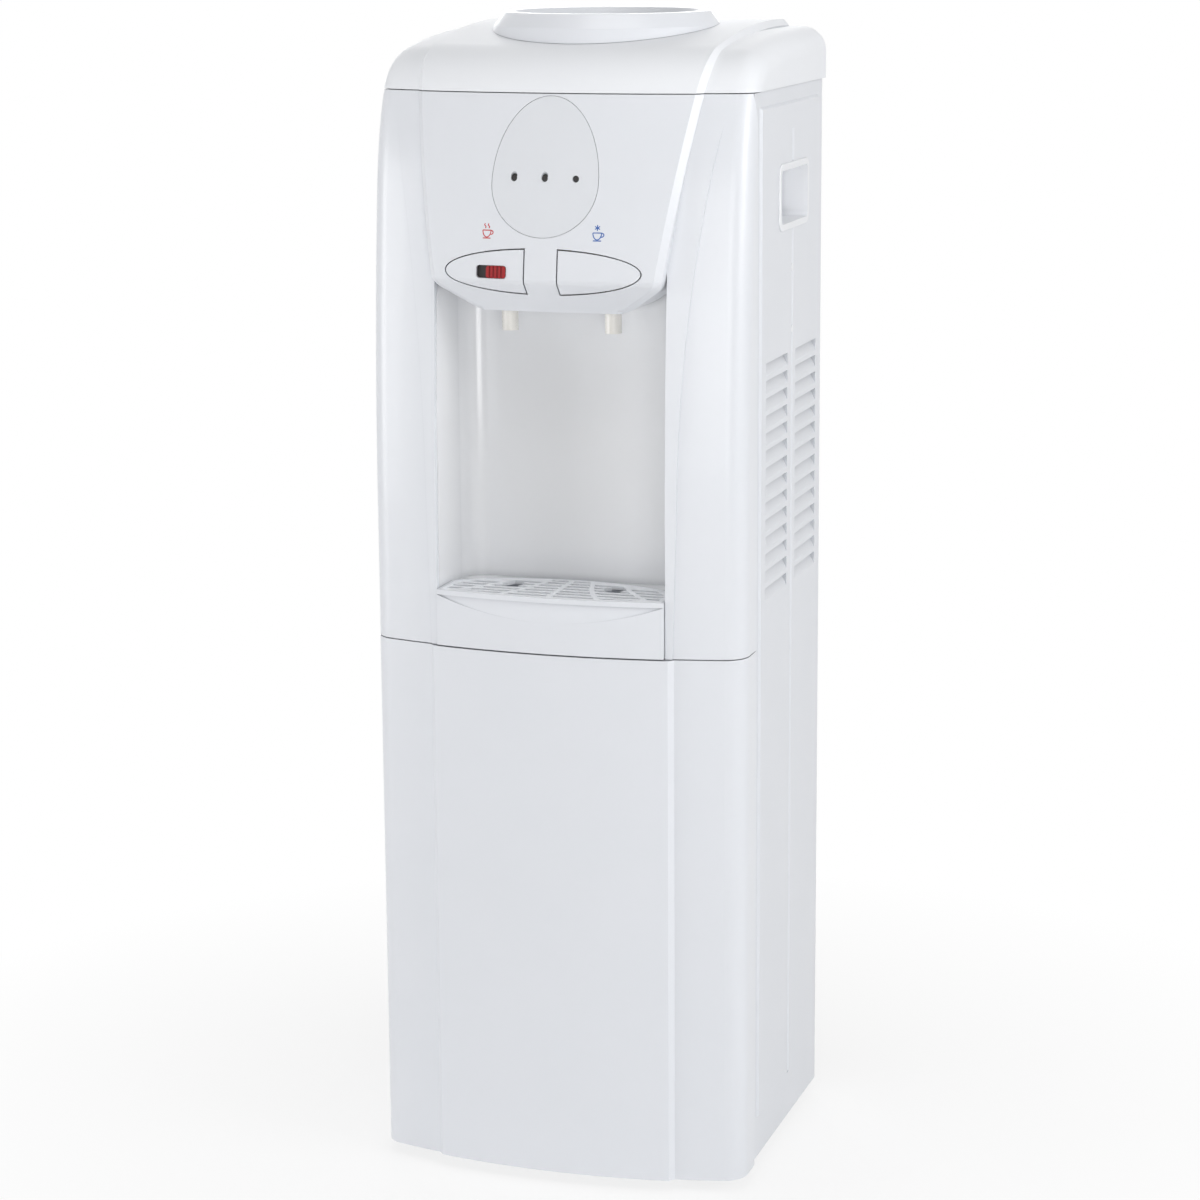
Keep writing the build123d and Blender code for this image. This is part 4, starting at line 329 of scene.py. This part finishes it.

# %% [markdown]
# Each CAD node names a slot in the record, and each slot has one finish. The nodes arrive as triangles
# with normals of their own, so only the material changes. The lid is the same plastic as the front, but
# its mould is etched, so that it looks satin and does not mirror the room when seen along its top. Its
# colour is lighter than the front's, which is painted light. The grille of the tray has the same lighter
# colour, painted light too, and only a pale painted shade between its ribs.

# %% Dress the CAD nodes
slot_of = {row["node"]: row["material_slot"] for row in frame["record"]["subparts"]}
own_finish = {
    # Lighter than the shell's white, though the same plastic: painted light.
    "top_cover": moulded("etched_white_abs_painted_light", "#F3F5F8", "#F0F2F6", 0.55, 26, 0.012, 1.2, 0.0006),
    # The same lighter white, painted light, with a pale painted shade between the ribs.
    "drip_grille": moulded("white_abs_painted_light", "#F3F5F8", "#F0F2F6", 0.30, 26, 0.012, 1.2, 0.0006,
                           dust="#D6D9DE"),
}
for name, piece in nodes.items():
    piece.data.materials.clear()
    piece.data.materials.append(own_finish.get(name, finishes[slot_of[name]]))
print("dressed", len(nodes), "nodes")

# %% [markdown]
# Two small pictograms are printed on the shield above the buttons: a steaming cup in red and a cup under
# an ice star in blue. The ink is a film about a twentieth of a millimetre thick, so each stroke is a
# flat bar carried along a path and laid on the shield. The shield's front is an arc in side view turned
# about a far upright axis, and the same formula that shaped it places the ink.

# %% Surface of the shield
BOW_RADIUS = 560.0
LIP_Z = 737.5
LIP_REACH = 7.0
SHIELD_EDGE = (27.0, 880.0)
LEAN = math.radians(6.0)
FRONT = -146.5
HOT_SIGN = (-45.0, 775.0)
COLD_SIGN = (44.5, 775.0)


def shield_front(x, z):
    """Y of the shield's skin: an arc from the lip to the lid seam, swept round the bow's axis."""
    run = SHIELD_EDGE[0] + LIP_REACH
    climb = SHIELD_EDGE[1] - LIP_Z
    radius = (run**2 + climb**2) / (2 * (run * math.cos(LEAN) - climb * math.sin(LEAN)))
    turned = np.arcsin(math.sin(LEAN) + (z - LIP_Z) / radius)
    inset = radius * (math.cos(LEAN) - np.cos(turned)) - LIP_REACH
    return FRONT + BOW_RADIUS - np.sqrt((BOW_RADIUS - inset) ** 2 - x**2)


print("skin at the signs: Y", [round(float(shield_front(*sign)), 2) for sign in (HOT_SIGN, COLD_SIGN)])

# %% [markdown]
# Prints, screws and springs are all made the same way: rings of points follow one another along a path
# or an axis, neighbouring rings are joined by four-sided faces, and the first and last ring are closed
# by a cap. The points are in millimetres at their final place, so the object itself stays at the origin.
# Blender turns the faces outwards at the end. Each piece then rides on the body that carries it.

# %% Mesh helpers
def ring_faces(rings, around):
    """Point numbers of the faces: quads between neighbouring rings, then the caps of first and last."""
    ring, spot = np.meshgrid(np.arange(rings - 1), np.arange(around), indexing="ij")
    turn = (spot + 1) % around
    here = ring * around
    after = here + around
    quads = np.stack([here + spot, here + turn, after + turn, after + spot], axis=-1).reshape(-1, 4)
    rim = np.arange(around)
    caps = np.stack([rim[::-1], (rings - 1) * around + rim])
    return [quads, caps]


def mesh_piece(name, points, faces, finish, body, smooth=True):
    """Make an object from points in millimetres and arrays of faces, and let it ride on a body."""
    mesh = bpy.data.meshes.new(name)
    rows = [row for block in faces for row in block.tolist()]
    mesh.from_pydata((points * MM).tolist(), [], rows)
    mesh.validate()
    shell = bmesh.new()
    shell.from_mesh(mesh)
    bmesh.ops.recalc_face_normals(shell, faces=shell.faces)
    shell.to_mesh(mesh)
    shell.free()
    mesh.polygons.foreach_set("use_smooth", [smooth] * len(mesh.polygons))
    mesh.materials.append(finish)
    piece = bpy.data.objects.new(name, mesh)
    bpy.context.scene.collection.objects.link(piece)
    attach(piece, body)
    return piece


print("a bar of two rings of four has", sum(len(block) for block in ring_faces(2, 4)), "faces")

# %% [markdown]
# A stroke of ink is worked out flat, as a path of points, then every point moves onto the skin. Arcs and
# straight lines are enough for all the signs. The strokes of one sign are joined into one mesh, because
# they are one print.

# %% Strokes of ink
INK_WIDTH = 0.75
INK_FILM = 0.06


def arc(centre, radius, start, end, count=24):
    """Path along part of an ellipse: cosine and sine times the two radii, angles in degrees."""
    angle = np.radians(np.linspace(start, end, count))
    return np.asarray(centre) + np.asarray(radius) * np.stack([np.cos(angle), np.sin(angle)], axis=1)


def straight(start, end, count=12):
    """Path along a straight line, in even steps from start to end."""
    share = np.linspace(0, 1, count)[:, None]
    return np.asarray(start, float) * (1 - share) + np.asarray(end, float) * share


def stroke(path, skin):
    """Points and faces of a flat bar: four corners beside each point of the path, laid on a skin."""
    path = np.asarray(path, float)
    way = np.gradient(path, axis=0)
    way /= np.linalg.norm(way, axis=1, keepdims=True)
    side = np.stack([-way[:, 1], way[:, 0]], axis=1) * INK_WIDTH / 2
    corners = np.stack([path + side, path - side, path - side, path + side], axis=1)
    lift = np.array([INK_FILM, INK_FILM, -INK_FILM, -INK_FILM])
    points = skin(corners[..., 0], corners[..., 1], lift)
    return points.reshape(-1, 3), ring_faces(len(path), 4)


def print_strokes(name, paths, skin, ink, body):
    """One printed mesh from several strokes: each one's faces count on from the points before it."""
    bars = [stroke(path, skin) for path in paths]
    points = np.concatenate([bar for bar, blocks in bars])
    starts = np.cumsum([0] + [len(bar) for bar, blocks in bars])
    faces = [block + start for (bar, blocks), start in zip(bars, starts) for block in blocks]
    return mesh_piece(name, points, faces, ink, body, smooth=False)


def pad_ink(name, colour, shade):
    """Pad-printing ink: an opaque, half matt film that levels out as it dries."""
    return moulded(name, colour, shade, 0.45, 4, 0.001, 0.6, 0.002)


print("ink strokes are", INK_WIDTH, "mm wide")

# %% [markdown]
# Both signs share one cup, drawn as a real one looks from the side: a rim, a bowl that is half an
# ellipse, a handle that is most of a ring, and a saucer. Two wisps of steam are sine waves that climb.
# The star is three bars that cross, which reads as ice even at a few millimetres.

# %% Paths of the signs
CUP_HALF = 3.4
CUP_RIM = 1.6
CUP_DEPTH = 5.2
SAUCER_HALF = 3.2
SAUCER_DROP = 4.4
HANDLE_OUT = 3.3
HANDLE_RADII = (1.9, 1.5)
HANDLE_SWEEP = 100
STEAM_LIFT = 3.2
STEAM_ASIDE = 1.5
STEAM_SWAY = 0.6
STEAM_HEIGHT = 3.4
STEAM_POINTS = 20
STAR_LIFT = 5.4
STAR_REACH = 2.2


def cup(x, z):
    """Paths of a cup about a middle point: a rim, half an ellipse, most of a small one, and a saucer."""
    rim = straight((x - CUP_HALF, z + CUP_RIM), (x + CUP_HALF, z + CUP_RIM))
    bowl = arc((x, z + CUP_RIM), (CUP_HALF, CUP_DEPTH), 180, 360)
    handle = arc((x + HANDLE_OUT, z), HANDLE_RADII, HANDLE_SWEEP, -HANDLE_SWEEP, count=16)
    saucer = straight((x - SAUCER_HALF, z - SAUCER_DROP), (x + SAUCER_HALF, z - SAUCER_DROP))
    return [rim, bowl, handle, saucer]


def steam(x, z):
    """Path of a wisp: a sine wave that climbs."""
    share = np.linspace(0, 1, STEAM_POINTS)
    return np.stack([x + STEAM_SWAY * np.sin(2 * np.pi * share), z + STEAM_HEIGHT * share], axis=1)


def ice_star(x, z):
    """Paths of three bars that cross, a sixth of a turn apart."""
    angles = np.radians([90, 150, 210])
    tips = STAR_REACH * np.stack([np.cos(angles), np.sin(angles)], axis=1)
    return [straight((x - tip[0], z - tip[1]), (x + tip[0], z + tip[1]), count=6) for tip in tips]


wisps = [steam(HOT_SIGN[0] + aside, HOT_SIGN[1] + STEAM_LIFT) for aside in (-STEAM_ASIDE, STEAM_ASIDE)]
hot_paths = cup(*HOT_SIGN) + wisps
cold_paths = cup(*COLD_SIGN) + ice_star(COLD_SIGN[0], COLD_SIGN[1] + STAR_LIFT)
print("signs of", len(hot_paths), "and", len(cold_paths), "strokes")

# %% [markdown]
# In pad printing a soft pad presses the ink onto the finished moulding, so the film follows the bow of
# the shield. Here the skin's formula does the same to the flat paths. A picture mapped onto the shield
# would be another way, but strokes keep sharp edges at any distance.

# %% Print the pictograms
def on_shield(x, z, lift):
    """Points of the shield's skin, lifted off it to the front."""
    return np.stack([x, shield_front(x, z) - lift, z], axis=-1)


red_ink = pad_ink("red_pad_print_ink", "#C8383A", "#C23034")
blue_ink = pad_ink("blue_pad_print_ink", "#2F68B8", "#2A5FAB")
signs = [print_strokes("hot_pictogram", hot_paths, on_shield, red_ink, "cabinet"),
         print_strokes("cold_pictogram", cold_paths, on_shield, blue_ink, "cabinet")]
print("printed", [sign.name for sign in signs])

# %% [markdown]
# The two rockers on the back carry the usual bar and ring for on and off. A rocker's face is a shallow
# V that stands turned about its pin, so a mark is drawn flat, folded onto the V and turned with it. Each
# print rides on its own rocker and tips with it.

# %% Marks on the rockers
ROCKER_PIN = (121.5, 838.0)
ROCKER_MIDDLES = {"heating_switch": 60.0, "cooling_switch": 84.0}
ROCKER_LEAN = math.radians(8.0)
ROCKER_FACE = 6.2
MARK_MIDDLE = 4.6
MARK_HALF = 1.7


def on_rocker(x, climb, lift):
    """Points on the V face: out from the pin by the V's depth, turned by the lean, lifted to the back."""
    out = ROCKER_FACE / math.cos(ROCKER_LEAN) + np.abs(climb) * math.tan(ROCKER_LEAN) + lift
    y = out * math.cos(ROCKER_LEAN) - climb * math.sin(ROCKER_LEAN)
    z = out * math.sin(ROCKER_LEAN) + climb * math.cos(ROCKER_LEAN)
    return np.stack([x, ROCKER_PIN[0] + y, ROCKER_PIN[1] + z], axis=-1)


white_ink = pad_ink("white_pad_print_ink", "#E9E9E6", "#E2E2DE")
for rocker, middle in ROCKER_MIDDLES.items():
    bar = straight((middle, MARK_MIDDLE - MARK_HALF), (middle, MARK_MIDDLE + MARK_HALF))
    ring = arc((middle, -MARK_MIDDLE), (MARK_HALF, MARK_HALF), 0, 360, count=33)
    print_strokes(rocker + "_marks", [bar, ring], on_rocker, white_ink, rocker)
print("marked rockers:", list(ROCKER_MIDDLES))

# %% [markdown]
# The side sheets are held at the back by eight pan-head screws. The CAD gives each one as a plain head
# and shank, so they are replaced here: one profile is turned about the axis, and the head's top is then
# pushed in where it lies inside a cross of four tapering arms, which is what a driver tip fits.

# %% Shape of a cross-head screw
HEAD_RADIUS = 3.6
HEAD_HEIGHT = 2.0
HEAD_RIM = 0.45
HEAD_CROWN = 0.15
SHOULDER_SHARE = 0.28
SHOULDER_POWER = 0.6
CROWN_SHARE = 0.70
SHANK_RADIUS = 1.6
SHANK_LENGTH = 6.0
TIP_RADIUS = 0.8
TIP_LENGTH = 0.8
POINT_RADIUS = 0.05
CROSS_REACH = 2.1
CROSS_HALF = 0.5
CROSS_DEPTH = 1.3
CROSS_EDGE = 0.12
SHOULDER_RINGS = 7
CROWN_RINGS = 16
SCREW_AROUND = 64


def screw_profile():
    """Radius and rise along a screw: straight tip and shank, a flattened quarter round, a parabola."""
    tip = -SHANK_LENGTH
    stem = np.array([(POINT_RADIUS, tip), (TIP_RADIUS, tip), (SHANK_RADIUS, tip + TIP_LENGTH),
                     (SHANK_RADIUS, 0.0), (HEAD_RADIUS, 0.0)])
    swing = np.linspace(0, math.pi / 2, SHOULDER_RINGS)
    shoulder = np.stack([
        HEAD_RADIUS * (1 - SHOULDER_SHARE + SHOULDER_SHARE * np.cos(swing) ** SHOULDER_POWER),
        HEAD_RIM + (HEAD_HEIGHT - HEAD_RIM - HEAD_CROWN) * np.sin(swing)], axis=1)
    crown = np.stack([
        np.linspace(HEAD_RADIUS * CROWN_SHARE, POINT_RADIUS, CROWN_RINGS),
        HEAD_HEIGHT - HEAD_CROWN * np.linspace(1, 0, CROWN_RINGS) ** 2], axis=1)
    return np.concatenate([stem, shoulder, crown])


def pan_head_screw():
    """Points of one screw: the profile turned about Y, pushed in where it lies inside the cross."""
    profile = screw_profile()
    angle = np.linspace(0, 2 * math.pi, SCREW_AROUND, endpoint=False)
    x = profile[:, :1] * np.cos(angle)
    z = profile[:, :1] * np.sin(angle)
    y = np.repeat(profile[:, 1:], SCREW_AROUND, axis=1)
    across = np.minimum(np.abs(x), np.abs(z))
    along = np.maximum(np.abs(x), np.abs(z))
    wall = np.clip((CROSS_HALF - across) / CROSS_EDGE + 0.5, 0, 1)
    push = CROSS_DEPTH * np.clip(1 - (along / CROSS_REACH) ** 3, 0, 1) * wall
    y = y - np.where(y > HEAD_RIM, push, 0)
    return np.stack([x, y, z], axis=-1).reshape(-1, 3), len(profile)


screw, screw_rings = pan_head_screw()
print("one screw has", screw_rings, "rings of", SCREW_AROUND, "points")

# %% [markdown]
# The screws stand in two columns, one along the rear edge of each side sheet. All eight are one mesh, as
# the CAD's are one node. Zinc plating gives a bright, slightly cloudy grey.

# %% Cross-head screws at the back
SCREW_X = 143.8
SCREW_SEAT = 125.5
SCREW_ROWS = np.array([290.0, 473.2, 656.4, 839.6])

screw_places = np.array([(side * SCREW_X, SCREW_SEAT, z) for side in (-1, 1) for z in SCREW_ROWS])
screw_points = (screw_places[:, None, :] + screw[None]).reshape(-1, 3)
screw_faces = [block[:, ::-1] + number * len(screw)
               for number in range(len(screw_places)) for block in ring_faces(screw_rings, SCREW_AROUND)]
zinc = metal("zinc_plated_steel", "#C4C6C6", "#A9ADB0", 0.32, 0.08, NOISE, 2.5, 1)
screws = mesh_piece("rear_pan_screws", screw_points, screw_faces, zinc, "cabinet")
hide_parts("rear_screws")
print("screws:", len(screw_places), "with", len(screws.data.polygons), "faces")

# %% [markdown]
# A coil spring round each valve stem pushes the button back. The CAD keeps its room as a sleeve. The
# real one is a wire carried along a helix whose pitch closes up at both ends. When the button is pushed,
# the stem's head shortens the spring.

# %% Coil springs on the valve stems
SPRING_X = {"hot": -42.7, "cold": 42.7}
SPRING_FRONT = -130.5
SPRING_BACK = -122.5
SPRING_RADIUS = 4.3
SPRING_TURNS = 5.0
CLOSED_SHARE = 0.12
WIRE_RADIUS = 0.55
WIRE_STEPS = 161
WIRE_AROUND = 10
STEM_Z = 734.5


def coil(x, z):
    """Points of a wire on a helix: it turns evenly and climbs by a ramp that is nearly flat at its ends."""
    share = np.linspace(0, 1, WIRE_STEPS)[:, None]
    turn = 2 * math.pi * SPRING_TURNS * share
    climb = np.clip((share - CLOSED_SHARE) / (1 - 2 * CLOSED_SHARE), 0, 1)
    length = SPRING_BACK - SPRING_FRONT - 4 * WIRE_RADIUS
    y = SPRING_FRONT + WIRE_RADIUS + 2 * WIRE_RADIUS * share + length * climb
    ring = np.linspace(0, 2 * math.pi, WIRE_AROUND, endpoint=False)
    reach = SPRING_RADIUS + WIRE_RADIUS * np.cos(ring)
    y = y + WIRE_RADIUS * np.sin(ring)
    points = np.stack([x + reach * np.cos(turn), y, z + reach * np.sin(turn)], axis=-1)
    return points.reshape(-1, 3), ring_faces(WIRE_STEPS, WIRE_AROUND)


# Drawn wire is smooth and grey, with faint lines of the die.
spring_steel = metal("spring_steel_wire", "#B4B5B6", "#97999B", 0.30, 0.08, NOISE, 1.5, 1)
for side, x in SPRING_X.items():
    wire, wire_faces = coil(x, STEM_Z)
    spring = mesh_piece(side + "_coil_spring", wire, wire_faces, spring_steel, "cabinet")
    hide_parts(side + "_stem_spring")
    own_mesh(spring)
print("springs:", list(SPRING_X))

# %% [markdown]
# The picture is high-key: a white sweep behind the machine, broad soft light from the left front and the
# right, and hardly any shadow. The floor is a sheet of pale paper. Camera, glossy and transmission rays
# see it as a white glow that is a little weaker near the feet, and the rest there is plain matt paper, so
# that the machine still stands on a soft shadow.

# %% Paper of the floor
PAPER = "#F4F4F4"
WHITE = (1.0, 1.0, 1.0, 1.0)
FADE_START = 0.25
FADE_END = 0.75
GLOW_AT_FEET = 0.80


def looked_at(tree):
    """Socket that is 1 for camera, glossy and transmission rays, else 0: the largest of the three."""
    ray = add_node(tree, "ShaderNodeLightPath")
    mirrored = add_node(tree, "ShaderNodeMath", {
        0: ray.outputs["Is Glossy Ray"], 1: ray.outputs["Is Transmission Ray"]}, operation="MAXIMUM")
    seen = add_node(tree, "ShaderNodeMath", {
        0: ray.outputs["Is Camera Ray"], 1: mirrored.outputs[0]}, operation="MAXIMUM")
    return seen.outputs[0]


paper, paper_tree, spot = bare_material("white_paper_sweep")
distance = add_node(paper_tree, "ShaderNodeVectorMath", {0: spot}, operation="LENGTH")
fade = add_node(paper_tree, "ShaderNodeMapRange", {
    "Value": distance.outputs["Value"], "From Min": FADE_START, "From Max": FADE_END,
    "To Min": GLOW_AT_FEET, "To Max": 1.0})
glowing = add_node(paper_tree, "ShaderNodeMath", {0: looked_at(paper_tree), 1: fade.outputs["Result"]},
                   operation="MULTIPLY")
matt = add_node(paper_tree, "ShaderNodeBsdfDiffuse", {"Color": linear(PAPER)})
glow = add_node(paper_tree, "ShaderNodeEmission", {"Color": WHITE, "Strength": 1.0})
cover = add_node(paper_tree, "ShaderNodeMixShader", {
    0: glowing.outputs[0], 1: matt.outputs[0], 2: glow.outputs[0]})
add_node(paper_tree, "ShaderNodeOutputMaterial", {"Surface": cover.outputs[0]})
print("paper glows fully from", FADE_END, "m on")

# %% [markdown]
# The sheet itself is one square that reaches past the edges of the picture.

# %% Floor
FLOOR_REACH = 8.0
floor_corners = FLOOR_REACH * np.array([(-1, -1, 0), (1, -1, 0), (1, 1, 0), (-1, 1, 0)])
floor_mesh = bpy.data.meshes.new("studio_floor")
floor_mesh.from_pydata(floor_corners.tolist(), [], [(0, 1, 2, 3)])
floor_mesh.materials.append(paper)
floor = bpy.data.objects.new("studio_floor", floor_mesh)
bpy.context.scene.collection.objects.link(floor)
print("floor", 2 * FLOOR_REACH, "m wide")

# %% [markdown]
# The world is the white wall of the studio. Rays that look at it or mirror it find white, so gloss and
# metal show a bright room. For all other rays it is only a dim fill, and the lamps do the shaping.

# %% World
FILL = 0.22
world = bpy.data.worlds.new("studio_world")
bpy.context.scene.world = world
world.use_nodes = True
sky = world.node_tree
sky.nodes.clear()
strength = add_node(sky, "ShaderNodeMapRange", {"Value": looked_at(sky), "To Min": FILL, "To Max": 1.0})
light = add_node(sky, "ShaderNodeBackground", {"Color": WHITE, "Strength": strength.outputs["Result"]})
add_node(sky, "ShaderNodeOutputWorld", {"Surface": light.outputs[0]})
print("world fill", FILL)

# %% [markdown]
# White plastic shows its form only by small differences in light, so broad boxes stand round the machine
# at different strengths. The key is low on the left and draws the pillars, the one on the right gives
# the side its own tone, the front one reaches into the bay, and the top one lifts the lid. The rear one
# is there for views from behind. Places and sizes are in metres, and power is in watts.

# %% Lamps
def soft_box(name, place, aim, width, height, power):
    """Rectangular lamp that faces a point at the aimed height on the machine's axis."""
    data = bpy.data.lights.new(name, "AREA")
    data.shape = "RECTANGLE"
    data.size = width
    data.size_y = height
    data.energy = power
    lamp = bpy.data.objects.new(name, data)
    lamp.location = place
    lamp.rotation_euler = (Vector((0.0, 0.0, aim)) - Vector(place)).to_track_quat("-Z", "Y").to_euler()
    bpy.context.scene.collection.objects.link(lamp)
    return lamp


lamps = [
    soft_box("key_box", (-2.8, -1.5, 0.5), aim=0.5, width=1.6, height=1.8, power=44),
    soft_box("front_box", (1.2, -3.0, 0.7), aim=0.5, width=1.4, height=1.2, power=21),
    soft_box("right_box", (2.9, -0.7, 1.5), aim=0.6, width=1.4, height=1.6, power=36),
    soft_box("top_box", (0.6, -1.1, 3.2), aim=0.8, width=2.0, height=2.0, power=25),
    soft_box("rear_box", (-1.2, 3.0, 1.8), aim=0.5, width=2.0, height=2.0, power=32),
]
print("lamps:", [lamp.name for lamp in lamps])

# %% [markdown]
# The Standard view transform shows a colour as it is written, which suits a white object on white.

# %% Finish
bpy.context.scene.view_settings.view_transform = "Standard"
